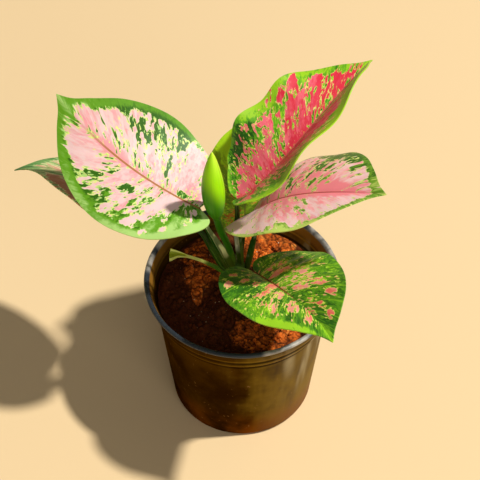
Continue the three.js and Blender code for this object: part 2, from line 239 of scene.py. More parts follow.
class Workshop:
    """The few hand moves that every piece is made with."""

    @staticmethod
    def start() -> None:
        """Leaves nothing selected, in object mode."""
        if bpy.context.mode != "OBJECT":
            bpy.ops.object.mode_set(mode="OBJECT")
        bpy.ops.object.select_all(action="DESELECT")

    @staticmethod
    def only(*pieces: Piece) -> None:
        """Selects these pieces alone.

        Args:
            *pieces: The pieces, of which the first becomes the active one.
        """
        Workshop.start()
        for piece in pieces:
            piece.select_set(True)
        bpy.context.view_layer.objects.active = pieces[0]

    @staticmethod
    def named(name: str) -> Piece:
        """Names the active piece and its mesh.

        Args:
            name: The name for both.

        Returns:
            The piece.
        """
        piece = bpy.context.object
        piece.name = name
        piece.data.name = name
        return piece

    @staticmethod
    def in_edit_mode(piece: Piece, moves: Callable[[], object]) -> None:
        """Runs edit moves on the whole of a piece.

        Args:
            piece: The piece to edit.
            moves: Calls the mesh operators.
        """
        Workshop.only(piece)
        bpy.ops.object.mode_set(mode="EDIT")
        bpy.ops.mesh.select_all(action="SELECT")
        moves()
        bpy.ops.object.mode_set(mode="OBJECT")

    @staticmethod
    def apply(piece: Piece, kind: str, **settings: object) -> None:
        """Adds a modifier to a piece and applies it.

        Args:
            piece: The piece to change.
            kind: The modifier's type.
            **settings: The modifier's own settings.
        """
        Workshop.only(piece)
        modifier = piece.modifiers.new(kind.title(), kind)
        for name, value in settings.items():
            setattr(modifier, name, value)
        bpy.ops.object.modifier_apply(modifier=modifier.name)

    @staticmethod
    def weld(piece: Piece, reach: float) -> None:
        """Makes one of all points that lie within some millimetres of each other."""
        Workshop.in_edit_mode(piece, lambda: bpy.ops.mesh.remove_doubles(threshold=reach * MM))

    @staticmethod
    def face_out(piece: Piece) -> None:
        """Turns a closed piece's faces outwards."""
        Workshop.in_edit_mode(piece, lambda: bpy.ops.mesh.normals_make_consistent(inside=False))

    @staticmethod
    def shaped_grid(
        name: str, columns: int, rows: int, place: Callable[[float, float], Vector], weld: float = 0.002
    ) -> Piece:
        """A grid whose every point is put in its place, with doubled points welded.

        Args:
            name: The piece's name.
            columns: Faces across.
            rows: Faces along.
            place: Gives the place in millimetres from two shares, across and along, each from 0 to 1.
            weld: Points closer than this many millimetres become one.

        Returns:
            The new piece.
        """
        Workshop.start()
        bpy.ops.mesh.primitive_grid_add(x_subdivisions=columns, y_subdivisions=rows, size=2.0)
        piece = Workshop.named(name)
        for vertex in piece.data.vertices:
            vertex.co = place((vertex.co.x + 1) / 2, (vertex.co.y + 1) / 2) * MM
        Workshop.weld(piece, weld)
        return piece

    @staticmethod
    def tube(
        name: str,
        columns: int,
        rows: int,
        skin: Callable[[float, float], tuple[Vector, Vector]],
        material: Material,
    ) -> Piece:
        """A tube that closes at both ends.

        Args:
            name: The piece's name.
            columns: Faces round the tube.
            rows: Faces along it.
            skin: Gives the tube's middle, and the way from there to its skin, in millimetres from two shares,
                round and along, each from 0 to 1.
            material: What it is made of.

        Returns:
            The new piece.
        """

        def place(turn: float, along: float) -> Vector:
            """A point of the skin, and the tube's middle at its two ends."""
            middle, outwards = skin(turn, along)
            return middle if along in (0.0, 1.0) else middle + outwards

        piece = Workshop.shaped_grid(name, columns, rows, place)
        Workshop.face_out(piece)
        piece.data.materials.append(material)
        return piece

    @staticmethod
    def join(name: str, pieces: Sequence[Piece]) -> Piece:
        """Joins pieces into one.

        Args:
            name: The joined piece's name.
            pieces: What is joined.

        Returns:
            The joined piece.
        """
        Workshop.only(*pieces)
        bpy.ops.object.join()
        return Workshop.named(name)

    @staticmethod
    def finish(piece: Piece, slot: Slot, nodes: Sequence[str] = (), angle: float = 50) -> None:
        """Shades a piece, lets it ride, hides the frame's nodes that it stands for and logs its faces.

        Args:
            piece: The finished piece.
            slot: The record's slot; not used.
            nodes: The frame's nodes that it replaces.
            angle: Edges sharper than this many degrees stay sharp.
        """
        Workshop.only(piece)
        bpy.ops.object.shade_smooth_by_angle(angle=math.radians(angle))
        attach(piece, ROOT_BODY)
        if nodes:
            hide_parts(*nodes)
        log.info("%s: %d faces", piece.name, len(piece.data.polygons))


class Paint:
    """A material's node tree, built up call by call.

    A colour lies on its body, and more colours are laid over it. A value given to a node is another node's
    socket, a number, a colour or a vector.
    """

    COLOUR_MIX = {"share": 0, "first": 6, "second": 7, "result": 2}

    def __init__(self, name: str, body: object = (0.0, 0.0, 0.0)) -> None:
        """Starts a material with one plain shader.

        Args:
            name: The material's name.
            body: The colour below all others.
        """
        self.material = bpy.data.materials.new(name)
        self.material.use_nodes = True
        self.tree = self.material.node_tree
        self.shader = next(n for n in self.tree.nodes if n.type == "BSDF_PRINCIPLED")
        self.body = body

    def feed(self, socket: Socket, value: object) -> None:
        """Links a socket, or sets it where the value is plain.

        Args:
            socket: The input.
            value: What it gets.
        """
        if isinstance(value, Socket):
            self.tree.links.new(value, socket)
        elif socket.type == "RGBA":
            socket.default_value = (*value, 1.0)
        else:
            socket.default_value = value

    def node(
        self, kind: str, inputs: dict[int | str, object], output: int | str = 0, **settings: object
    ) -> Socket:
        """Adds a node and feeds it.

        Args:
            kind: The node's type, without the words that all types begin with.
            inputs: What its inputs get, each named or counted.
            output: The output that is asked for, named or counted.
            **settings: The node's own settings.

        Returns:
            The output.
        """
        node = self.tree.nodes.new(f"ShaderNode{kind}")
        for name, value in settings.items():
            setattr(node, name, value)
        for name, value in inputs.items():
            self.feed(node.inputs[name], value)
        return node.outputs[output]

    def math(self, operation: str, *values: object) -> Socket:
        """A sum on numbers."""
        return self.node("Math", dict(enumerate(values)), operation=operation)

    def times(self, *values: object) -> object:
        """The product of values."""
        return reduce(lambda first, second: self.math("MULTIPLY", first, second), values)

    def away(self, value: Socket, middle: float) -> Socket:
        """How far a value is from a number."""
        return self.math("ABSOLUTE", self.math("ADD", value, -middle))

    def total(self, start: float, *terms: tuple[float, object]) -> object:
        """A number and further terms, each a weight and a value, added up."""
        return reduce(lambda result, term: self.math("MULTIPLY_ADD", term[1], term[0], result), terms, start)

    def step(self, value: object, low: float, high: float) -> Socket:
        """A smooth step from 0 at low to 1 at high."""
        inputs = {"Value": value, "From Min": low, "From Max": high}
        return self.node("MapRange", inputs, "Result", interpolation_type="SMOOTHSTEP")

    def mix(self, share: object, first: object, second: object) -> Socket:
        """Blends two colours.

        Args:
            share: How much of the second colour, from 0 to 1.
            first: The colour at 0.
            second: The colour at 1.

        Returns:
            The colour between them.
        """
        at = self.COLOUR_MIX
        inputs = {at["share"]: share, at["first"]: first, at["second"]: second}
        return self.node("Mix", inputs, at["result"], data_type="RGBA")

    def lay(self, colour: object, *shares: object) -> None:
        """Lays a colour over the body, as strongly as its shares' product."""
        self.body = self.mix(self.times(*shares), self.body, colour)

    def noise(self, vector: Socket, scale: float, detail: float = 2, rough: float = 0.5) -> Socket:
        """Cloudy noise around one half.

        Args:
            vector: Where on the surface.
            scale: How fine.
            detail: How many finer layers are added.
            rough: How strong the finer layers are.

        Returns:
            The noise's number.
        """
        inputs = {"Vector": vector, "Scale": scale, "Detail": detail, "Roughness": rough}
        return self.node("TexNoise", inputs, "Fac")

    def cells(self, vector: Socket, scale: float, softness: float) -> list[Socket]:
        """Three random numbers from 0 to 1 for each small cell, blended where cells meet.

        Args:
            vector: Where on the surface.
            scale: How fine.
            softness: How wide the blend is, from 0 to 1.

        Returns:
            The cell's three numbers.
        """
        kind = {"voronoi_dimensions": "2D", "feature": "SMOOTH_F1"}
        inputs = {"Vector": vector, "Scale": scale, "Smoothness": softness}
        return self.split(self.node("TexVoronoi", inputs, "Color", **kind))

    def seams(self, vector: Socket, scale: float) -> Socket:
        """How far a place is from the nearest seam between such cells."""
        kind = {"voronoi_dimensions": "2D", "feature": "DISTANCE_TO_EDGE"}
        return self.node("TexVoronoi", {"Vector": vector, "Scale": scale}, "Distance", **kind)

    def stretched(self, vector: Socket, scale: Sequence[float], move: Sequence[float] = (0, 0, 0)) -> Socket:
        """A pattern's place, stretched and moved."""
        return self.node("Mapping", {"Vector": vector, "Scale": scale, "Location": move})

    def chart(self, name: str) -> Socket:
        """The place on one of the piece's own UV maps."""
        return self.node("UVMap", {}, uv_map=name)

    def place(self) -> Socket:
        """The place in the object's own space, in metres."""
        return self.node("TexCoord", {}, "Object")

    def millimetres(self) -> Socket:
        """The same place in millimetres."""
        return self.stretched(self.place(), (1 / MM, 1 / MM, 1 / MM))

    def attribute(self, name: str, output: str) -> Socket:
        """One of the mesh's own attributes."""
        return self.node("Attribute", {}, output, attribute_name=name)

    def split(self, vector: Socket) -> list[Socket]:
        """A vector's three numbers."""
        return list(self.node("SeparateXYZ", {0: vector}).node.outputs)

    def length(self, vector: Socket) -> Socket:
        """A vector's length."""
        return self.node("VectorMath", {0: vector}, "Value", operation="LENGTH")

    def bump(self, height: object, strength: float, distance: float) -> None:
        """Gives the shader a bump from a height, over a distance in millimetres."""
        inputs = {"Height": height, "Strength": strength, "Distance": distance * MM}
        self.set(normal=self.node("Bump", inputs, "Normal"))

    def glow(self, weight: float, distance: float = 2, tint: Colour = (1.0, 1.0, 0.4)) -> None:
        """Lets light through the surface, over a distance in millimetres."""
        self.set(subsurface_weight=weight, subsurface_scale=distance * MM, subsurface_radius=tint)

    def set(self, **sockets: object) -> None:
        """Feeds the shader's own sockets, named with low lines for spaces."""
        for name, value in sockets.items():
            self.feed(self.shader.inputs[name.replace("_", " ").title().replace("Ior", "IOR")], value)

    def done(self, **sockets: object) -> Material:
        """Gives the shader its body colour and its last sockets, and hands out the material."""
        self.set(base_color=self.body, **sockets)
        return self.material


CHART = "UVMap"
VEIN_CHART = "veins"
MARKS = "marks"
CRACKS = "cracks"
CHART_UNIT = 10.0
VEIN_SPACING = 7.5
ROUND_PART = 0.7
ROUND_ANGLE = math.radians(118)
RIM_FLARE, RIM_LIFT, RIM_START = 0.25, 0.4, 0.6
HALF_OUTLINE = (
    (0, 0), (-0.09, 0.15), (-0.07, 0.4), (0.04, 0.72), (0.18, 0.92), (0.36, 1),
    (0.55, 0.92), (0.72, 0.7), (0.85, 0.38), (0.93, 0.14), (1, 0),
)


@dataclass(frozen=True)
class Mark:
    """A soft oval on a blade that makes it greener, lighter or rosier.

    The middle and half sizes are shares: across from -1 at the left edge to 1 at the right, along from 0
    at the base to 1 at the tip.
    """

    across: float
    along: float
    width: float
    length: float
    green: float = 0.0
    light: float = 0.0
    rosy: float = 0.0

    def strength(self, across: float, along: float) -> float:
        """How strongly the mark shows at a place, from 0 to 1."""
        reach = math.hypot((across - self.across) / self.width, (along - self.along) / self.length)
        return 1 - smooth_step(reach, 0.5, 1.0)


def marks(*rows: Sequence[float]) -> tuple[Mark, ...]:
    """Marks from rows of percentages, in the order of a mark's fields."""
    return tuple(Mark(*(number / 100 for number in row)) for row in rows)


@dataclass(frozen=True)
class LeafFinish:
    """The painted face of one leaf: pink patches, flecks with pale halos, and greens of several depths.

    The colours are given from the middle of a pink patch to the deepest green.
    """

    name: str
    pale: Colour
    rosy: Colour
    halo: Colour
    lime: Colour
    green: Colour
    dark: Colour
    rib: Colour
    patch: float = 0.8
    fleck: float = 0.5
    cloud: float = 0.9
    net: float = 0.1
    halo_width: float = 0.14
    stretch: float = 2.2
    fineness: float = 6.5
    rib_width: float = 0.65
    rib_until: float = 0.8
    vein_light: float = 0.0
    glow: float = 0.15
    calm: float = 0.0
    seed: float = 0.0

    WOBBLE = (0.35, 0.25, 0)
    GRAIN = 0.25

    def pattern(self, paint: Paint) -> tuple[Socket, Socket, Socket, Socket]:
        """The three numbers that choose a place's colour, and the fine cloud used for bumps.

        Args:
            paint: The material being made.

        Returns:
            How green (above 0 it is leaf green), how light the green is, how rosy the pink is, and the cloud.
        """
        seed = self.seed
        veins = paint.chart(VEIN_CHART)
        greener, lighter, rosier = paint.split(paint.attribute(MARKS, "Vector"))
        shift = {0: paint.noise(veins, 3), 1: self.WOBBLE, 2: veins}
        placed = paint.node("VectorMath", shift, operation="MULTIPLY_ADD")
        coarse = paint.stretched(placed, (1 / self.stretch, 1, 1), (seed, seed * 1.7, 0))
        fine = paint.stretched(placed, (1.4 / self.stretch, 1, 1), (seed + 3, seed, 0))
        patch = paint.cells(coarse, self.fineness, 0.4)
        fleck = paint.cells(fine, 2.1 * self.fineness, 0.35)
        cloud = paint.noise(paint.stretched(veins, (0.7, 1, 1), (seed + 7, seed, 3)), 1.6)
        grain = paint.noise(veins, 14, 3, 0.6)
        seam = paint.step(paint.seams(coarse, self.fineness), 0.1, 0.02)
        seam = paint.times(seam, paint.step(fleck[1], 0.3, 0.8))
        green = paint.total(
            -(self.patch + self.fleck + self.cloud + self.GRAIN) / 2,
            (1.0, greener),
            (self.patch, patch[0]),
            (self.fleck, fleck[0]),
            (self.cloud, cloud),
            (self.net, seam),
            (self.GRAIN, grain),
        )
        varied = paint.total(-0.75, (0.4, patch[1]), (0.5, fleck[1]), (0.6, cloud))
        freely = paint.total(1.0, (-self.calm, paint.step(greener, 0.25, 0.6)))
        light = paint.total(0.4, (1.0, lighter), (1.0, paint.times(varied, freely)))
        rosy = paint.total(-0.6, (1.0, rosier), (0.6, patch[2]), (0.4, fleck[2]), (0.8, cloud))
        return green, light, rosy, grain

    def upper(self) -> Material:
        """Paints the upper face.

        Returns:
            Its material.
        """
        paint = Paint(f"{self.name}_face")
        halo, edge = self.halo_width, self.rib_width / CHART_UNIT
        along = paint.split(paint.chart(CHART))[1]
        out, row, _ = paint.split(paint.chart(VEIN_CHART))
        green, light, rosy, grain = self.pattern(paint)
        leafy = paint.mix(paint.step(light, 0.0, 0.5), self.dark, self.green)
        leafy = paint.mix(paint.step(light, 0.5, 1.0), leafy, self.lime)
        wave = paint.math("COSINE", paint.times(row, 2 * math.pi * CHART_UNIT / VEIN_SPACING))
        leafy = paint.mix(paint.times(paint.step(wave, 0.93, 1.0), self.vein_light), leafy, self.lime)
        paint.body = paint.mix(paint.step(rosy, 0.0, 1.0), self.pale, self.rosy)
        paint.lay(self.halo, paint.step(green, -halo, -0.5 * halo))
        paint.lay(self.lime, paint.step(green, -0.4 * halo, 0.0))
        paint.lay(leafy, paint.step(green, 0.1 * halo, 0.6 * halo))
        near_rib = paint.step(paint.math("ABSOLUTE", out), edge, 0.6 * edge)
        paint.lay(self.rib, near_rib, paint.step(along, self.rib_until + 0.2, self.rib_until))
        skin = paint.noise(paint.chart(VEIN_CHART), 60, 2, 0.6)
        paint.bump(paint.total(0.0, (0.5, skin), (0.7, grain)), 0.3, 0.3)
        paint.glow(self.glow)
        return paint.done(roughness=paint.total(0.33, (0.18, skin)), specular_ior_level=0.32)

    def under(self) -> Material:
        """Paints the underside: matt, with the face's pattern showing through faintly.

        Returns:
            Its material.
        """
        through = tuple(0.45 * (rosy + lime) for rosy, lime in zip(self.rosy, self.lime))
        paint = Paint(f"{self.name}_underside", through)
        green, light, _, grain = self.pattern(paint)
        leafy = paint.mix(paint.step(light, 0.3, 1.2), self.green, self.lime)
        paint.lay(leafy, paint.step(green, -0.3, 0.15))
        paint.bump(grain, 0.25, 0.3)
        paint.glow(self.glow)
        return paint.done(roughness=paint.total(0.5, (0.1, grain)))


@dataclass(frozen=True)
class StalkFinish:
    """A stalk that changes colour from foot to head, with pale margins along its groove."""

    name: str
    foot: Colour
    head: Colour
    margin: Colour
    change_from: float = 0.1
    change_to: float = 0.6
    margin_from: float = -0.1
    margin_until: float = 0.2
    margin_width: float = 0.05
    mottle: float = 0.0

    def material(self) -> Material:
        """Paints the stalk.

        Returns:
            Its material.
        """
        paint = Paint(self.name)
        chart = paint.chart(CHART)
        turn, along, _ = paint.split(chart)
        streaks = paint.noise(paint.stretched(chart, (30, 3, 1)), 1.0, 3, 0.6)
        clouds = paint.noise(paint.stretched(chart, (3, 9, 1)), 1.0, 2, 0.6)
        paint.body = paint.mix(paint.step(along, self.change_from, self.change_to), self.foot, self.head)
        paint.lay(dimmed(self.head, 0.6), paint.step(streaks, 0.5, 0.75), 0.6)
        paint.lay(self.margin, paint.step(clouds, 0.58, 0.75), 0.25)
        off = paint.away(turn, (1 + ROUND_PART) / 2)
        nearest = paint.math("MINIMUM", off, paint.math("SUBTRACT", 1.0, off))
        wavering = paint.total(-0.025, (1.0, nearest), (0.05, clouds))
        reach = (1 - ROUND_PART) / 2 + self.margin_width
        paint.lay(
            self.margin,
            paint.step(wavering, reach, reach - 0.02),
            paint.step(along, self.margin_until + 0.1, self.margin_until),
            paint.step(along, self.margin_from, self.margin_from + 0.08),
            paint.total(1.0, (-self.mottle, paint.step(clouds, 0.56, 0.44))),
        )
        paint.bump(streaks, 0.2, 0.4)
        paint.glow(0.08)
        return paint.done(roughness=paint.total(0.22, (0.2, streaks)), specular_ior_level=0.25)


@dataclass(frozen=True)
class Wave:
    """The wave of a leaf's edge."""

    height: float
    count: float
    phase: float


@dataclass(frozen=True)
class RibPlace:
    """A place on a leaf's rib, with the ways across and up from it."""

    place: Vector
    across: Vector
    up: Vector


def channel_section(turn: float, radius: float, rim: float, groove: float) -> Pair:
    """A point of a stalk's section: round below, with two rims and a groove above.

    Args:
        turn: How far round the section, from 0 to 1.
        radius: The stalk's radius.
        rim: How far the rims stand up.
        groove: How deep the groove is.

    Returns:
        The point across and up from the stalk's middle.
    """
    flared = radius * (1 + RIM_FLARE * rim)
    if turn <= ROUND_PART:
        angle = ROUND_ANGLE * (2 * turn / ROUND_PART - 1)
        lift = rim * max(0.0, abs(angle) / ROUND_ANGLE - RIM_START)
        return flared * math.sin(angle), lift - radius * math.cos(angle)
    share = 1 - 2 * (turn - ROUND_PART) / (1 - ROUND_PART)
    top = RIM_LIFT * rim - radius * math.cos(ROUND_ANGLE)
    return flared * math.sin(ROUND_ANGLE) * share, top - groove * (1 - share * share)


@dataclass
class Leaf:
    """One leaf: a waved blade, and a petiole that runs on as the rib under it.

    Pairs are given left first, as seen from the base towards the tip. The roll is given at base and tip.
    """

    node: str
    slot: Slot
    finish: LeafFinish
    stalk: StalkFinish
    rib: tuple[Place, Place, Place, Place]
    petiole: tuple[Place, ...]
    half_width: Pair
    roll: Pair
    fold: Pair
    curl: Pair
    wave: Wave
    lobe: Pair = (1.0, 1.0)
    ground: float = -0.2
    ground_light: float = 0.0
    border: Pair = (3.0, 3.0)
    border_green: Pair = (0.7, 0.7)
    border_light: float = 0.1
    pleat: float = 0.09
    wing: float = 1.6
    marks: tuple[Mark, ...] = ()

    COLUMNS, ROWS = 76, 132
    STALK_COLUMNS, STALK_ROWS = 30, 90
    STALK_PART = 0.55
    STALK_GAP = 0.15
    THICKNESS = 0.62
    RIB_LEAD = 2.2
    VEIN_SWEEP = 1.2
    LEFT_WAVE_TURN = 0.3
    PETIOLE_RADIUS = 1.75
    GROOVE, SHEATH_GROOVE = 0.25, 0.6
    RIB_RADIUS = 1.15
    RIB_TIP_RADIUS = 0.35
    RIB_DEPTH = 0.45
    RIB_REACH = 0.97
    RIB_SIDE = (0.2, 1.8)
    RIB_ROSE, ROSE_REACH = 0.35, 6
    PLEAT_START, PLEAT_END = (0.5, 7), (0.75, 1.0)
    SWELL, SWELL_FINENESS = 0.3, (0.12, 9)
    RELIEF_PART = (0.02, 0.98)
    BORDER_FADE = (0.45, 1.25)
    SHEATH_RISE, SHEATH_FALL = (0.03, 0.2), (0.35, 0.7)
    FLAT_WELD, BENT_WELD = 0.0, 0.004

    def __post_init__(self) -> None:
        """Measures the rib."""
        self.curve = RibCurve(self.rib)

    def rib_place(self, share: float) -> RibPlace:
        """Stands on the rib, or on its straight run before the base.

        Args:
            share: The share of the rib's length, below 0 before the base.

        Returns:
            The place with its directions.
        """
        inside = min(max(share, 0.0), 1.0)
        along = self.curve.direction(inside)
        place = self.curve.at(inside) + along * (min(share, 0.0) * self.curve.length)
        level = along.cross(UP).normalized()
        lift = level.cross(along)
        roll = math.radians(blend_numbers(*self.roll, inside))
        across = level * math.cos(roll) + lift * math.sin(roll)
        return RibPlace(place, across, lift * math.cos(roll) - level * math.sin(roll))

    def spread(self, from_base: float, from_rib: float) -> Pair:
        """Where a point lies on the flat leaf.

        Args:
            from_base: From 0 at the base to 1 at the tip.
            from_rib: From -1 at the left edge to 1 at the right.

        Returns:
            The share of the rib's length, and how far out in millimetres.
        """
        side = 0 if from_rib < 0 else 1
        edge_share, edge_out = even_spline(HALF_OUTLINE, from_base)
        if edge_share < 0:
            edge_share *= self.lobe[side]
        rib_share = from_base**self.RIB_LEAD
        reach = abs(from_rib)
        share = rib_share + (edge_share - rib_share) * reach**self.VEIN_SWEEP
        return share, self.half_width[side] * edge_out * reach

    def blade_point(self, from_base: float, from_rib: float) -> Vector:
        """Bends the flat leaf round its rib.

        Args:
            from_base: From 0 at the base to 1 at the tip.
            from_rib: From -1 at the left edge to 1 at the right.

        Returns:
            The blade's point in millimetres.
        """
        side, sign, turn = (0, -1, self.LEFT_WAVE_TURN) if from_rib < 0 else (1, 1, 0.0)
        share, out = self.spread(from_base, from_rib)
        width = self.half_width[side]
        tilt = math.radians(self.fold[side] + self.curl[side] * out / (2 * width))
        ripple = math.sin(2 * math.pi * (self.wave.count * share + self.wave.phase + turn))
        rise = out * math.sin(tilt) + self.wave.height * (out / width) ** 2 * ripple
        rib = self.rib_place(share)
        return rib.place + rib.across * (sign * out * math.cos(tilt)) + rib.up * rise

    def vein_row(self, from_base: float) -> float:
        """Millimetres along the leaf between rib and edge, on which the side veins are counted."""
        edge_share = even_spline(HALF_OUTLINE, from_base)[0]
        return self.curve.length * (from_base**self.RIB_LEAD + edge_share) / 2

    def relief(self, from_base: float, from_rib: float) -> float:
        """Models the sunken rib, the pleats along the veins and a slow swell.

        Args:
            from_base: From 0 at the base to 1 at the tip.
            from_rib: From -1 at the left edge to 1 at the right.

        Returns:
            How far the face lies above the plain blade, in millimetres.
        """
        out = self.spread(from_base, from_rib)[1]
        wave = math.cos(2 * math.pi * self.vein_row(from_base) / VEIN_SPACING)
        fade = smooth_step(out, *self.PLEAT_START) * (1 - smooth_step(abs(from_rib), *self.PLEAT_END))
        rib = -self.RIB_DEPTH * (1 - smooth_step(out, *self.RIB_SIDE)) * (1 - from_base)
        fine_out, fine_along = self.SWELL_FINENESS
        swell = self.SWELL * noise.noise(Vector((out * fine_out, from_base * fine_along, self.curve.length)))
        return self.pleat * wave * fade + rib + swell * fade

    def marking(self, from_base: float, from_rib: float) -> tuple[float, float, float]:
        """Adds up the blade's ground, its border and its marks.

        Args:
            from_base: From 0 at the base to 1 at the tip.
            from_rib: From -1 at the left edge to 1 at the right.

        Returns:
            How green, light and rosy the place is, before its flecks.
        """
        side = 0 if from_rib < 0 else 1
        outward = even_spline(HALF_OUTLINE, from_base)[1] * self.half_width[side]
        inwards = outward * (1 - abs(from_rib))
        edge = 1 - smooth_step(inwards, *(self.border[side] * share for share in self.BORDER_FADE))
        green = self.ground + self.border_green[side] * edge
        light = self.ground_light + self.border_light * edge
        rosy = self.RIB_ROSE * (1 - smooth_step(outward * abs(from_rib), 0, self.ROSE_REACH))
        for mark in self.marks:
            strength = mark.strength(from_rib, from_base)
            green += mark.green * strength
            light += mark.light * strength
            rosy += mark.rosy * strength
        return green, light, rosy

    def blade(self) -> Piece:
        """Makes the blade as one thin shell with a painted face and a plainer underside.

        Returns:
            The blade.
        """
        piece = Workshop.shaped_grid(
            f"{self.node}_blade",
            self.COLUMNS,
            self.ROWS,
            lambda across, along: Vector((2 * across - 1, along, 0)) / MM,
            self.FLAT_WELD,
        )
        mesh = piece.data
        flat = [(vertex.co.y, vertex.co.x) for vertex in mesh.vertices]
        veins = mesh.uv_layers.new(name=VEIN_CHART)
        for loop in mesh.loops:
            from_base, from_rib = flat[loop.vertex_index]
            out = math.copysign(self.spread(from_base, from_rib)[1], from_rib)
            veins.data[loop.index].uv = (out / CHART_UNIT, self.vein_row(from_base) / CHART_UNIT)
        charted = mesh.attributes.new(MARKS, "FLOAT_VECTOR", "POINT")
        for vertex, place in zip(mesh.vertices, flat):
            vertex.co = self.blade_point(*place) * MM
            charted.data[vertex.index].vector = self.marking(*place)
        mesh.update()
        normals = [vertex.normal.copy() for vertex in mesh.vertices]
        for vertex, normal, place in zip(mesh.vertices, normals, flat):
            if self.RELIEF_PART[0] < place[0] < self.RELIEF_PART[1]:
                vertex.co += normal * (self.relief(*place) * MM)
        Workshop.weld(piece, self.BENT_WELD)
        mesh.materials.append(self.finish.upper())
        mesh.materials.append(self.finish.under())
        Workshop.apply(piece, "SOLIDIFY", thickness=self.THICKNESS * MM, offset=0.0, material_offset=1)
        return piece

    def petiole_tube(self) -> Piece:
        """Makes the channelled petiole, with its sheath near the foot, running on under the blade.

        Returns:
            The petiole.
        """
        base = self.rib_place(0)
        heading = self.curve.handles[3] - self.curve.handles[0]
        heading.z = 0
        level = heading.normalized().cross(UP)
        way = StalkCurve([*self.petiole, base.place - base.up * self.RIB_RADIUS])

        def skin(turn: float, along: float) -> tuple[Vector, Vector]:
            """Shapes the petiole, and then the rib under the blade.

            Args:
                turn: How far round, from 0 to 1.
                along: How far from the foot to the rib's end, from 0 to 1.

            Returns:
                The tube's middle, and the way out to its skin.
            """
            if along <= self.STALK_PART:
                share = along / self.STALK_PART
                across, up = square_to(way.direction(share), level.lerp(base.across, share**2))
                middle = way.at(share)
                sheath = smooth_step(share, *self.SHEATH_RISE) - smooth_step(share, *self.SHEATH_FALL)
                sheath *= self.wing
                radius = blend_numbers(self.PETIOLE_RADIUS, self.RIB_RADIUS, share)
                x, y = channel_section(turn, radius, sheath, self.GROOVE + self.SHEATH_GROOVE * sheath)
            else:
                share = self.RIB_REACH * (along - self.STALK_PART) / (1 - self.STALK_PART)
                rib = self.rib_place(share)
                radius = blend_numbers(self.RIB_RADIUS, self.RIB_TIP_RADIUS, share)
                across, up, middle = rib.across, rib.up, rib.place - rib.up * (self.STALK_GAP + radius)
                x, y = channel_section(turn, radius, 0.0, 0.0)
            return middle, across * x + up * y

        name = f"{self.node}_petiole"
        return Workshop.tube(name, self.STALK_COLUMNS, self.STALK_ROWS, skin, self.stalk.material())

    def build(self) -> None:
        """Makes the leaf and joins its blade and petiole."""
        piece = Workshop.join(f"{self.node}_grown", [self.blade(), self.petiole_tube()])
        Workshop.finish(piece, self.slot, [self.node])


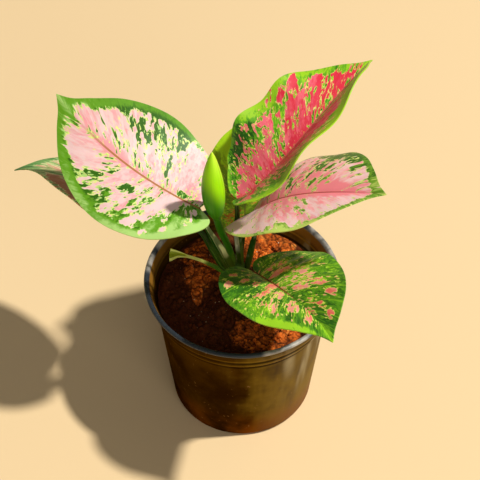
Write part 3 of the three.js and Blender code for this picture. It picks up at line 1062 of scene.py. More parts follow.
@dataclass
class NurseryPot:
    """The thin plastic pot, turned from its profile, with drainage holes.

    A shade and highlight line is a soft painted line round the pot: painted shade in a groove under a lip, or
    a painted highlight on a lip. It is given as millimetres above the wall's top, half its width, its colour.
    """

    height: float = 92
    rim_radius: float = 52
    base_radius: float = 39
    wall: float = 1.3
    wall_top_height: float = 76
    wall_top_radius: float = 46.2
    collar_step: float = 1.2
    ring_height: float = 6
    band_gap: float = 1
    bead_height: float = 2.6
    bead_width: float = 2.4
    foot_height: float = 1.4
    foot_width: float = 2.8
    foot_inset: float = 1.6
    pad_radius: float = 15
    floor_top: float = 2.8
    drain_count: int = 6
    drain_radius: float = 3
    drain_circle: float = 24
    sides: int = 144
    wall_rings: tuple[float, ...] = (2.4, 26, 50)
    # Where the painted highlight streak stands, in millimetres to the right.
    streak_middle: float = 24.5
    ring_lines: tuple[tuple[float, float, Colour], ...] = (
        (-1.9, 1.6, (0.006, 0.002, 0.0003)),
        (3.6, 1.3, (0.006, 0.002, 0.0003)),
        (1.3, 0.6, (0.24, 0.13, 0.014)),
        (7.6, 0.8, (0.28, 0.15, 0.014)),
    )

    UMBER, BROWN = (0.024, 0.008, 0.0005), (0.07, 0.03, 0.001)
    DUST, SPLASH, CRUMBS = (0.21, 0.13, 0.015), (0.20, 0.05, 0.003), (0.25, 0.13, 0.05)
    # Painted light: a highlight for the sunny side, and a sunlit band inside the rim.
    SUNLIT, INSIDE = (0.40, 0.34, 0.20), (0.30, 0.14, 0.02)
    # The rim's slate, its blue tint a painted sky reflection, and its painted highlight.
    SLATE, WORN = (0.022, 0.03, 0.04), (0.42, 0.39, 0.35)

    def wall_radius(self, height: float) -> float:
        """The outer wall's radius at a height below the collar."""
        return self.base_radius + (self.wall_top_radius - self.base_radius) * height / self.wall_top_height

    def profile(self) -> list[Pair]:
        """Draws the pot's half section, from the pad under its floor round to the floor inside.

        Each corner is a radius and a height, with the points round it as steps out and up from there.

        Returns:
            The points' radii and heights.
        """
        wall_top, top = self.wall_top_height, self.height
        ring_top, bead_foot = wall_top + self.ring_height, top - self.bead_height
        band_foot = ring_top + self.band_gap
        ring = self.wall_top_radius + self.collar_step
        band = ring + self.collar_step
        foot = self.base_radius - self.foot_inset
        inner_floor = self.wall_radius(self.floor_top) - self.wall
        corners = (
            (self.pad_radius, 0, (0, 0), (0.8, self.foot_height)),
            (foot - self.foot_width, 0, (-0.4, self.foot_height), (0, 0)),
            (foot, 0, (0, 0)),
            (self.base_radius, 0, (-0.7, 0.45), (-0.2, 1.2)),
            *((self.wall_radius(height), height, (0, 0)) for height in self.wall_rings),
            (self.wall_top_radius, wall_top, (0, 0)),
            (ring, wall_top, (-0.4, 0.6), (0.1, 0.8), (0.4, 1.4)),
            (ring, ring_top, (0.5, -0.9), (0.2, -0.3), (-0.1, 0.1)),
            (ring, band_foot, (0, -0.2)),
            (band, band_foot, (0.3, 0), (0.9, 0.3), (1.2, 1.0)),
            (band, bead_foot, (1.5, -0.8), (1.2, -0.2), (1.2, 0.2)),
            (self.rim_radius, bead_foot, (-0.7, 0.5), (-0.15, 1.0)),
            (self.rim_radius, top, (0, -1.1), (-0.2, -0.5), (-0.7, -0.1), (-1.2, 0), (-1.8, -0.1)),
            (self.rim_radius - self.bead_width, top, (0, -0.5)),
            (band - self.wall, bead_foot, (1.3, -0.3)),
            (band - self.wall, band_foot, (-0.1, 0.6)),
            (ring - self.wall, ring_top, (0, -0.6)),
            (self.wall_top_radius - self.wall, wall_top, (0, 0)),
            (inner_floor, self.floor_top, (0, 1.6), (-0.4, 0.4), (-1.4, 0)),
        )
        return [(radius + out, height + up) for radius, height, *turns in corners for out, up in turns]

    def shell(self) -> Piece:
        """Makes the pot's wall: a disc drawn out ring by ring to the profile.

        Returns:
            The shell, closed and facing out.
        """
        rings = self.profile()
        radius, height = rings[0]
        Workshop.start()
        bpy.ops.mesh.primitive_circle_add(
            vertices=self.sides, radius=radius * MM, fill_type="NGON", location=(0, 0, height * MM)
        )
        piece = Workshop.named("nursery_pot")
        bpy.ops.object.transform_apply(location=True, rotation=False, scale=False)
        Workshop.only(piece)
        bpy.ops.object.mode_set(mode="EDIT")
        bpy.ops.mesh.select_mode(type="EDGE")
        bpy.ops.mesh.select_all(action="SELECT")
        bpy.ops.mesh.region_to_loop()
        for (radius, height), (next_radius, next_height) in zip(rings, rings[1:]):
            rise = (0, 0, (next_height - height) * MM)
            bpy.ops.mesh.extrude_edges_move(TRANSFORM_OT_translate={"value": rise})
            scale = next_radius / radius
            bpy.ops.transform.resize(value=(scale, scale, 1))
        bpy.ops.mesh.edge_face_add()
        bpy.ops.mesh.select_mode(type="VERT")
        bpy.ops.object.mode_set(mode="OBJECT")
        Workshop.face_out(piece)
        return piece

    def drill_drains(self, piece: Piece) -> None:
        """Cuts the round drainage holes through the floor.

        Args:
            piece: The pot's shell.
        """
        for index in range(self.drain_count):
            angle = (index + 0.5) * 2 * math.pi / self.drain_count
            Workshop.start()
            bpy.ops.mesh.primitive_cylinder_add(
                vertices=32,
                radius=self.drain_radius * MM,
                depth=4 * self.floor_top * MM,
                location=round_place(self.drain_circle, angle, 0) * MM,
            )
            drill = bpy.context.object
            Workshop.apply(piece, "BOOLEAN", operation="DIFFERENCE", object=drill)
            bpy.data.objects.remove(drill, do_unlink=True)

    def plastic(self) -> Material:
        """Paints thin dark brown plastic, dusty low down, with painted light: a painted highlight and streak
        on the right side, dust heavier there, painted shade and highlight lines at the collar, a painted
        sunlit band inside the rim, and a painted highlight with glints on the rim.

        Returns:
            The material.
        """
        paint = Paint("pot_plastic")
        place = paint.place()
        x, y, z = paint.split(paint.millimetres())
        streaks = paint.noise(paint.stretched(place, (1, 1, 0.18)), 60, 3, 0.6)
        clouds = paint.noise(place, 26, 4, 0.6)
        specks = paint.noise(place, 420, 2, 0.6)
        paint.body = paint.mix(paint.step(clouds, 0.35, 0.7), self.UMBER, self.BROWN)
        # Dust: real dust, laid more heavily to the right, so that side is partly painted lighter where the
        # key lamp falls.
        dusty = paint.total(-0.13, (0.5, clouds), (0.5, streaks), (0.3, paint.step(x, -40, 40)))
        paint.lay(self.DUST, paint.step(dusty, 0.5, 0.75), 0.8)
        paint.lay(self.SPLASH, paint.step(z, 30, 0), paint.step(clouds, 0.35, 0.6), 0.7)
        paint.lay(self.CRUMBS, paint.step(specks, 0.68, 0.74), 0.6)
        # Painted highlight: pale gloss patches on the upper right side and a pale vertical streak on its
        # front stand for reflections of the light.
        gloss = paint.step(paint.noise(paint.stretched(place, (1, 1, 0.1)), 110), 0.48, 0.66)
        sunny = paint.times(gloss, paint.step(x, 5, 40), paint.step(z, 20, 60))
        streak = paint.step(paint.away(x, self.streak_middle), 4.5, 0.5)
        streak = paint.times(streak, paint.step(z, 45, 70), paint.step(y, -20, -35))
        streak = paint.times(streak, paint.step(streaks, 0.3, 0.6))
        paint.lay(self.SUNLIT, paint.total(0.0, (0.75, sunny), (0.6, streak)))
        # Painted shade in the grooves under the collar's lips and painted highlights on the lips, fainter
        # towards the shaded left.
        rubbed = paint.total(0.45, (0.55, paint.step(x, -30, 20)))
        for shift, width, colour in self.ring_lines:
            off = paint.away(z, self.wall_top_height + shift)
            paint.lay(colour, paint.step(off, width, 0.3 * width), 0.85, rubbed)
        # Painted light: a lighter orange band round the upper inner wall, where the sun falls inside the rim.
        radius = paint.length(paint.stretched(paint.millimetres(), (1, 1, 0)))
        inside = paint.step(radius, self.rim_radius - 2.2, self.rim_radius - 3.2)
        paint.lay(self.INSIDE, inside, paint.step(z, self.height - 9, self.height - 5), 0.8)
        # The rim is dark slate, its blue tint a painted reflection of the sky, with a painted highlight and
        # glints on its right and at its back left, where light falls on it.
        rim = paint.step(z, self.height - 2.4, self.height - 1.2)
        left = paint.times(paint.step(x, -36, -44), paint.step(y, 2, 8))
        worn = paint.total(0.0, (1.0, paint.step(x, 9, 13)), (1.0, left))
        scuffs = paint.step(paint.noise(place, 75, 3, 0.6), 0.36, 0.6)
        paint.lay(paint.mix(paint.times(worn, scuffs), self.SLATE, self.WORN), rim, 0.96)
        paint.bump(paint.total(0.0, (0.5, streaks), (0.3, specks)), 0.12, 0.6)
        return paint.done(
            roughness=paint.total(0.22, (0.3, paint.step(dusty, 0.42, 0.7)), (0.1, specks)),
            specular_ior_level=paint.total(0.0, (0.45, rim), (0.16, paint.step(x, 5, 35))),
            specular_tint=paint.mix(rim, (1.0, 0.62, 0.22), (0.9, 0.96, 1.0)),
        )

    def build(self) -> None:
        """Makes the pot."""
        piece = self.shell()
        self.drill_drains(piece)
        piece.data.materials.append(self.plastic())
        Workshop.finish(piece, Slot.POT, ["pot"], angle=38)


@dataclass
class PottingSoil:
    """The soil: one filled body with a lumpy top, and loose crumbs on it.

    A sunlit patch is a soft oval of painted sunlight: its middle to the right and back, and its half sizes.
    Outside these patches the earth is painted darker, as painted shade.
    """

    pot: NurseryPot
    level: float = 80
    mound: float = 2.5
    mound_radius: float = 40
    lump: float = 0.55
    gap: float = 0.35
    edge_radius: float = 40.5
    clods: tuple[Pair, ...] = ((6.0, 2.2), (2.9, 1.7), (1.4, 0.9))
    clod_sink: float = 1.1
    crumb_count: int = 800
    crumb_sizes: Pair = (0.35, 1.7)
    pebble_count: int = 50
    pebble_sizes: Pair = (0.25, 0.6)
    # Patches of painted sunlight, where the sun falls on the soil between the leaves.
    dry_patches: tuple[tuple[float, float, float, float], ...] = (
        (-21, 19, 12, 19),
        (14, 30, 15, 18),
        (13, -30, 20, 11.5),
        (-24, -1, 3, 9),
    )
    seed: int = 11

    COLUMNS, ROWS = 400, 150
    TOP_PART, RING_SPACING, EDGE_FADE = 0.86, 0.8, 3
    HALFWAY = 40
    WARP, CLOD_TOP = 0.35, 0.45
    CRACK_WIDTH, DEEP_CELL = 0.24, 4
    GRAIN, GRAIN_FINENESS = 0.25, 1.9
    CRUMB_LIFT, CRUMB_UNEVENNESS = 0.2, (0.75, 1.2)
    CRUMB_WIDTH, CRUMB_HEIGHT = (0.6, 1), (0.45, 0.8)
    SMALL_CRUMBS = 2.5
    FINE_FROM = 0.9

    def height(self, x: float, y: float) -> float:
        """Models the lumpy top.

        Args:
            x: Millimetres to the right of the pot's axis.
            y: Millimetres behind it.

        Returns:
            The top's height.
        """
        mound = self.mound * max(0.0, 1 - math.hypot(x, y) / self.mound_radius)
        lumps = (
            math.sin(0.31 * x + 0.17 * y)
            + math.sin(0.23 * y - 0.29 * x + 1.3)
            + 0.7 * math.sin(0.55 * x + 0.8) * math.cos(0.47 * y)
        )
        return self.level + mound + self.lump * lumps

    def crumbly(self, x: float, y: float) -> Pair:
        """Clods with cracks between them, on top of the broad lumps.

        Args:
            x: Millimetres to the right of the pot's axis.
            y: Millimetres behind it.

        Returns:
            The height in millimetres, and how deep in a crack the place is, from 0 to 1.
        """
        lumps, crack = 0.0, 0.0
        for cell, rise in self.clods:
            warp = self.WARP * noise.noise(Vector((x / cell, y / cell, cell)))
            near, next_near = noise.voronoi(Vector((x / cell + warp, y / cell - warp, cell)))[0][:2]
            lumps += rise * min(next_near - near, self.CLOD_TOP)
            depth = 1 - smooth_step(next_near - near, 0.0, self.CRACK_WIDTH)
            crack = max(crack, depth * min(cell / self.DEEP_CELL, 1))
        grain = self.GRAIN * noise.noise(Vector((x * self.GRAIN_FINENESS, y * self.GRAIN_FINENESS, 0)))
        return lumps + grain - self.clod_sink, crack

    def outline(self) -> list[Pair]:
        """Draws the body's side, clear of the pot's inner wall.

        Returns:
            Radii and heights from the top's edge down to the middle of the floor.
        """
        top, floor, gap = self.pot.wall_top_height, self.pot.floor_top, self.gap
        at_top, halfway, at_floor = (
            self.pot.wall_radius(height) - self.pot.wall - gap for height in (top, self.HALFWAY, floor)
        )
        return [
            (at_top + 0.5, self.level - 1),
            (at_top, top),
            (halfway, self.HALFWAY),
            (at_floor - 0.3, floor + 2),
            (at_floor - 1.9, floor + gap),
            (0, floor + gap),
        ]

    def body(self) -> Piece:
        """Makes the filled body, from the middle of its top over the edge to the middle of its foot.

        Returns:
            The body, with how deep in a crack each point lies as an attribute, which the earth darkens as
            painted shade.
        """
        side = self.outline()
        edge, edge_height = side[0]

        def place(turn: float, along: float) -> Vector:
            """Goes out over the lumpy top, down the side and in under the foot.

            Args:
                turn: How far round, from 0 to 1.
                along: How far from the top's middle to the foot's, from 0 to 1.

            Returns:
                A point of the soil's skin in millimetres.
            """
            angle = 2 * math.pi * turn
            if along <= self.TOP_PART:
                radius = edge * (along / self.TOP_PART) ** self.RING_SPACING
                x, y = radius * math.cos(angle), radius * math.sin(angle)
                inwards = smooth_step(edge - radius, 0, self.EDGE_FADE)
                height = blend_numbers(edge_height, self.height(x, y), inwards)
                fade = 1 - smooth_step(radius, edge - self.EDGE_FADE, edge)
                return Vector((x, y, height + self.crumbly(x, y)[0] * fade))
            part = (along - self.TOP_PART) / (1 - self.TOP_PART) * (len(side) - 1)
            index = min(int(part), len(side) - 2)
            radius, height = (blend_numbers(a, b, part - index) for a, b in zip(side[index], side[index + 1]))
            return round_place(radius, angle, height)

        piece = Workshop.shaped_grid("potting_soil", self.COLUMNS, self.ROWS, place)
        Workshop.face_out(piece)
        cracks = piece.data.attributes.new(CRACKS, "FLOAT", "POINT")
        for vertex in piece.data.vertices:
            cracks.data[vertex.index].value = self.crumbly(vertex.co.x / MM, vertex.co.y / MM)[1]
        return piece

    def lump_mesh(self, divisions: int) -> bpy.types.Mesh:
        """A copy of the plain lump that crumbs are shaped from, modelled the first time it is asked for.

        Args:
            divisions: 1 for a coarse ball, 2 for a finer one.

        Returns:
            A mesh of its own.
        """
        name = f"lump_{divisions}"
        if name not in bpy.data.meshes:
            Workshop.start()
            bpy.ops.mesh.primitive_ico_sphere_add(subdivisions=divisions, radius=1.0)
            lump = bpy.context.object
            lump.data.name = name
            lump.data.use_fake_user = True
            bpy.data.objects.remove(lump, do_unlink=True)
        return bpy.data.meshes[name].copy()

    def crumb(self, rng: random.Random, size: float) -> Piece:
        """One uneven crumb lying on the soil.

        Args:
            rng: The seeded random source.
            size: The crumb's rough radius in millimetres.

        Returns:
            The crumb.
        """
        radius = self.edge_radius * math.sqrt(rng.random())
        angle = rng.uniform(0, 2 * math.pi)
        x, y = radius * math.cos(angle), radius * math.sin(angle)
        z = self.height(x, y) + max(self.crumbly(x, y)[0], 0) + self.CRUMB_LIFT * size
        piece = bpy.data.objects.new("crumb", self.lump_mesh(2 if size > self.FINE_FROM else 1))
        bpy.context.scene.collection.objects.link(piece)
        axis = Vector((rng.random(), rng.random(), 0.3)).normalized()
        turn = Matrix.Rotation(rng.uniform(0, 6.28), 4, axis)
        squash = Matrix.Diagonal((1, rng.uniform(*self.CRUMB_WIDTH), rng.uniform(*self.CRUMB_HEIGHT), 1))
        for vertex in piece.data.vertices:
            vertex.co *= size * MM * rng.uniform(*self.CRUMB_UNEVENNESS)
        piece.data.transform(Matrix.Translation(Vector((x, y, z)) * MM) @ turn @ squash)
        return piece

    def scatter(self, name: str, count: int, sizes: Pair, seed: int, earth: Material) -> None:
        """Makes one piece of many crumbs.

        Args:
            name: The piece's name.
            count: How many crumbs.
            sizes: The smallest and largest radius in millimetres.
            seed: Seeds the random draws.
            earth: What the crumbs are made of.
        """
        rng = random.Random(seed)
        made = []
        for _ in range(count):
            size = blend_numbers(*sizes, rng.random() ** self.SMALL_CRUMBS)
            made.append(self.crumb(rng, size))
        piece = Workshop.join(name, made)
        piece.data.materials.append(earth)
        Workshop.finish(piece, Slot.SOIL)

    def dryness(self, paint: Paint, *clouds: Socket) -> object:
        """How far inside a patch of painted sunlight a place lies.

        Args:
            paint: The material being made.
            *clouds: Noises around one half that make the patches ragged.

        Returns:
            Above 0 in a sunlit patch, and up to 1 in its middle.
        """
        dry: object = -1.0
        for x, y, width, depth in self.dry_patches:
            scale, move = (1 / width, 1 / depth, 0), (-x / width, -y / depth, 0)
            away = paint.length(paint.stretched(paint.millimetres(), scale, move))
            dry = paint.math("MAXIMUM", dry, paint.math("SUBTRACT", 1.0, away))
        return paint.total(-0.35 * len(clouds), (1.0, dry), *((0.7, cloud) for cloud in clouds))

    def earth(self, name: str, light: Colour, mid: Colour, dark: Colour) -> Material:
        """Paints rough, crumbly earth, with painted shade in its cracks and outside its patches of painted
        sunlight.

        Args:
            name: The material's name.
            light: The crumbs' tops.
            mid: The main colour.
            dark: The hollows, and the painted shade in cracks and outside the sunlit patches.

        Returns:
            The material.
        """
        paint = Paint(name)
        place = paint.place()
        clods = paint.noise(place, 130, 5, 0.7)
        grains = paint.noise(place, 700, 3, 0.7)
        patches = paint.noise(place, 45)
        mixed = paint.total(0.0, (0.6, clods), (0.4, grains))
        paint.body = paint.mix(paint.step(mixed, 0.36, 0.52), dark, mid)
        paint.lay(light, paint.step(mixed, 0.52, 0.66))
        paint.lay(dark, paint.step(patches, 0.5, 0.7), 0.45)
        # Painted shade: the cracks between clods are darkened, as shade falls in them.
        paint.lay(dimmed(dark, 0.3), paint.attribute(CRACKS, "Fac"), 0.85)
        # Painted shade: outside the patches of painted sunlight the earth is darkened.
        paint.lay(dimmed(dark, 0.9), paint.step(self.dryness(paint, patches, clods), 0.1, -0.04), 0.92)
        paint.bump(mixed, 0.9, 1.6)
        return paint.done(roughness=0.95, specular_ior_level=0.2)

    def build(self) -> None:
        """Makes the soil, its crumbs and its few pale grains."""
        body = self.body()
        earth = self.earth("soil_earth", (1.0, 0.38, 0.07), (0.80, 0.17, 0.018), (0.06, 0.011, 0.0012))
        body.data.materials.append(earth)
        Workshop.finish(body, Slot.SOIL, ["soil"])
        self.scatter("soil_crumbs", self.crumb_count, self.crumb_sizes, self.seed, earth)
        stone = self.earth("soil_pale", (0.8, 0.7, 0.6), (0.6, 0.45, 0.3), (0.4, 0.25, 0.15))
        self.scatter("soil_pale_grains", self.pebble_count, self.pebble_sizes, self.seed + 1, stone)


@dataclass
class Cane:
    """The short stem, ringed where old leaves fell."""

    axis: Place
    finish: StalkFinish
    foot: float = 46
    top: float = 99
    radius: float = 3.3
    scars: Pair = (85, 92)
    scar_rise: float = 0.25
    shoulder: float = 0.8
    roundness: float = 0.9

    COLUMNS, ROWS = 40, 120

    def skin(self, turn: float, along: float) -> tuple[Vector, Vector]:
        """Shapes the stem.

        Args:
            turn: How far round, from 0 to 1.
            along: How far up, from 0 to 1.

        Returns:
            The stem's middle, and the way out to its skin.
        """
        height = blend_numbers(self.foot, self.top, along)
        ring = sum(max(0.0, 1 - abs(height - scar) / self.roundness) for scar in self.scars)
        shoulder = self.shoulder * smooth_step(height, self.top - self.roundness, self.top)
        radius = self.radius + self.scar_rise * ring - shoulder
        return Vector(self.axis) + UP * height, round_place(radius, 2 * math.pi * turn, 0)

    def build(self) -> None:
        """Makes the stem."""
        piece = Workshop.tube("green_cane", self.COLUMNS, self.ROWS, self.skin, self.finish.material())
        Workshop.finish(piece, Slot.STEM, ["stem"])


@dataclass
class FlowerBud:
    """A closed spathe, rolled round itself, on its stalk."""

    way: tuple[Place, ...]
    stalk_radius: float = 1.8
    neck_share: float = 0.54
    radius: float = 5.8
    belly: Pair = (0.8, 0.75)
    tip_radius: float = 0.15
    seam: float = 0.9
    seam_turn: float = 0.62
    # Where round the bud its painted shade is deepest.
    shaded_turn: float = 0.88
    sideways: Place = (1, 0.3, 0)

    COLUMNS, ROWS = 96, 150
    ROLL_PART, SEAM_PART = 0.12, 0.06
    STALK, NECK = (0.02, 0.13, 0.002), (0.05, 0.23, 0.002)
    # LIME is the bud's own colour, laid by painted light; the other is a painted highlight.
    LIME, LIT = (0.38, 0.82, 0.003), (0.66, 0.95, 0.07)
    LINES, FOOT = (0.16, 0.42, 0.006), (0.10, 0.16, 0.015)

    def __post_init__(self) -> None:
        """Measures the way."""
        self.curve = StalkCurve(self.way)

    def size(self, share: float) -> float:
        """Swells the stalk to the bud.

        Args:
            share: The share of the way.

        Returns:
            The radius there.
        """
        spathe = (share - self.neck_share) / (1 - self.neck_share)
        if spathe <= 0:
            return self.stalk_radius
        low, full = self.belly
        belly = self.radius * max(math.sin(math.pi * spathe**low), 0.0) ** full
        return max(self.stalk_radius * (1 - spathe), belly, self.tip_radius)

    def skin(self, turn: float, along: float) -> tuple[Vector, Vector]:
        """Shapes the bud and its stalk, with a step out at the seam.

        Args:
            turn: How far round, from 0 to 1.
            along: How far up, from 0 to 1.

        Returns:
            The middle, and the way out to the skin.
        """
        across, up = square_to(self.curve.direction(along), Vector(self.sideways))
        size = self.size(along)
        rolled = smooth_step(along, self.neck_share, self.neck_share + self.ROLL_PART)
        step = self.seam * rolled * size / self.radius
        size += step * (smooth_step(turn, 0.0, self.SEAM_PART) * (1 - turn) - 0.5)
        angle = 2 * math.pi * (turn + self.seam_turn)
        return self.curve.at(along), across * (size * math.cos(angle)) + up * (size * math.sin(angle))

    def waxen(self) -> Material:
        """Paints smooth lime green that deepens towards the neck and stalk, with painted light over it: lime
        and a painted highlight on the lit side and towards the top, and painted shade in dark green on the
        other side.

        Returns:
            The material.
        """
        paint = Paint("spathe")
        chart = paint.chart(CHART)
        turn, along, _ = paint.split(chart)
        lines = paint.noise(paint.stretched(chart, (26, 1.5, 1)), 1.0)
        # Painted light and shade: the side facing the key lamp and the top are painted lime with a highlight,
        # the far side dark green.
        around = paint.times(paint.total(-self.shaded_turn, (1.0, turn)), 2 * math.pi)
        bright = paint.total(-2.7, (-0.3, paint.math("COSINE", around)), (3.8, along))
        paint.body = paint.mix(paint.step(along, 0.52, 0.72), self.STALK, self.NECK)
        paint.lay(self.LIME, paint.step(bright, -0.16, 0.5))
        paint.lay(self.LIT, paint.step(bright, 0.5, 1.4))
        paint.lay(self.LINES, paint.step(lines, 0.5, 0.7), 0.3)
        paint.lay(self.FOOT, paint.step(along, 0.22, 0.0))
        paint.bump(lines, 0.12, 0.5)
        paint.glow(0.4, 3, (0.8, 1.0, 0.2))
        return paint.done(roughness=0.38, specular_ior_level=0.2)

    def build(self) -> None:
        """Makes the bud."""
        piece = Workshop.tube("closed_spathe", self.COLUMNS, self.ROWS, self.skin, self.waxen())
        Workshop.finish(piece, Slot.BUD, ["flower_bud"])


@dataclass
class CutPetiole:
    """The stub of a cut leaf, open and flared at its end.

    Its rims and its groove are given as they start, with what they gain at the opening.
    """

    way: tuple[Place, ...]
    finish: StalkFinish
    radius: float = 1.5
    flare: float = 1.0
    hook: float = 1.6

    COLUMNS, ROWS = 36, 70
    OPENING_PART, HOOK_PART = (0.72, 1), (0.86, 1)
    SLIM, SLIM_PART = 0.56, (0.05, 0.6)
    RIMS, GROOVE = (0.1, 1.9), (0.05, 2.4)

    def __post_init__(self) -> None:
        """Measures the way."""
        self.curve = StalkCurve(self.way)

    def skin(self, turn: float, along: float) -> tuple[Vector, Vector]:
        """Shapes the stub, slim in the middle and hooked at its open end.

        Args:
            turn: How far round, from 0 to 1.
            along: How far out, from 0 to 1.

        Returns:
            The stub's middle, and the way out to its skin.
        """
        run = self.curve.direction(along)
        across, up = square_to(run, run.cross(UP))
        opening = smooth_step(along, *self.OPENING_PART)
        slim = blend_numbers(1.0, self.SLIM, smooth_step(along, *self.SLIM_PART))
        radius = slim * self.radius + self.flare * opening
        rims, groove = (start + gain * opening for start, gain in (self.RIMS, self.GROOVE))
        x, y = channel_section(turn, radius, rims, groove)
        x -= self.hook * smooth_step(along, *self.HOOK_PART) * max(0.0, -x / radius)
        return self.curve.at(along), across * x + up * y

    def build(self) -> None:
        """Makes the stub."""
        piece = Workshop.tube("cut_stub", self.COLUMNS, self.ROWS, self.skin, self.finish.material())
        Workshop.finish(piece, Slot.PETIOLE, ["cut_petiole"])


GREEN_STALK = StalkFinish(
    "petiole_green",
    foot=(0.05, 0.09, 0.005),
    head=(0.010, 0.07, 0.003),
    margin=(0.94, 0.96, 0.70),
    change_from=0.05,
    change_to=0.3,
    margin_from=0.07,
    margin_width=0.0,
    mottle=0.5,
)
DARK_STALK = StalkFinish(
    "petiole_dark",
    foot=(0.02, 0.06, 0.004),
    head=(0.006, 0.045, 0.002),
    margin=(0.10, 0.22, 0.02),
)
CREAM_STALK = StalkFinish(
    "petiole_cream",
    foot=(0.06, 0.10, 0.006),
    head=(0.007, 0.065, 0.003),
    margin=(0.92, 0.94, 0.42),
    change_from=0.05,
    change_to=0.3,
    margin_from=0.13,
    margin_until=0.36,
    margin_width=0.0,
    mottle=0.8,
)
CANE_BARK = StalkFinish(
    "cane",
    foot=(0.12, 0.09, 0.02),
    head=(0.08, 0.16, 0.03),
    margin=(0.10, 0.16, 0.04),
)
CUT_GREEN = StalkFinish(
    "petiole_cut",
    foot=(0.10, 0.26, 0.006),
    head=(0.96, 0.98, 0.22),
    margin=(0.42, 0.48, 0.015),
    change_from=0.4,
    change_to=0.52,
    margin_from=0.72,
    margin_until=1.2,
    margin_width=-0.03,
)

PALE_PINK = LeafFinish(
    "pale_pink",
    pale=(0.88, 0.61, 0.60),
    rosy=(0.86, 0.33, 0.36),
    halo=(0.76, 0.84, 0.22),
    lime=(0.43, 0.68, 0.19),
    green=(0.13, 0.36, 0.012),
    dark=(0.032, 0.135, 0.003),
    rib=(0.42, 0.17, 0.05),
    halo_width=0.2,
    stretch=1.8,
    rib_until=0.75,
    calm=0.65,
    seed=2.0,
)
CRIMSON = LeafFinish(
    "crimson",
    pale=(0.84, 0.155, 0.21),
    rosy=(0.68, 0.03, 0.065),
    halo=(0.78, 0.70, 0.22),
    lime=(0.31, 0.58, 0.014),
    green=(0.12, 0.38, 0.01),
    dark=(0.015, 0.10, 0.005),
    rib=(0.55, 0.10, 0.08),
    net=0.32,
    stretch=2.0,
    glow=0.35,
    seed=5.0,
)
SALMON = LeafFinish(
    "salmon",
    pale=(1.0, 0.64, 0.66),
    rosy=(1.0, 0.28, 0.34),
    halo=(0.84, 0.80, 0.34),
    lime=(0.56, 0.72, 0.16),
    green=(0.18, 0.38, 0.03),
    dark=(0.05, 0.16, 0.012),
    rib=(0.58, 0.12, 0.11),
    seed=8.0,
)
MOSSY = LeafFinish(
    "mossy",
    pale=(0.84, 0.34, 0.27),
    rosy=(0.76, 0.15, 0.11),
    halo=(0.74, 0.78, 0.17),
    lime=(0.30, 0.60, 0.02),
    green=(0.10, 0.31, 0.012),
    dark=(0.025, 0.13, 0.008),
    rib=(0.22, 0.035, 0.015),
    patch=0.75,
    cloud=0.4,
    halo_width=0.19,
    stretch=1.7,
    fineness=8.0,
    rib_until=0.6,
    vein_light=0.45,
    seed=13.0,
)
DULL_GREEN = LeafFinish(
    "dull_green",
    pale=(0.70, 0.36, 0.26),
    rosy=(0.46, 0.20, 0.10),
    halo=(0.76, 0.84, 0.40),
    lime=(0.40, 0.58, 0.22),
    green=(0.15, 0.34, 0.09),
    dark=(0.06, 0.18, 0.05),
    rib=(0.26, 0.22, 0.08),
    halo_width=0.24,
    seed=17.0,
)
OLIVE = LeafFinish(
    "olive",
    pale=(0.52, 0.22, 0.02),
    rosy=(0.40, 0.08, 0.01),
    halo=(0.44, 0.46, 0.04),
    lime=(0.42, 0.75, 0.012),
    green=(0.22, 0.38, 0.006),
    dark=(0.12, 0.25, 0.004),
    rib=(0.16, 0.2, 0.01),
    glow=0.4,
    seed=21.0,
)

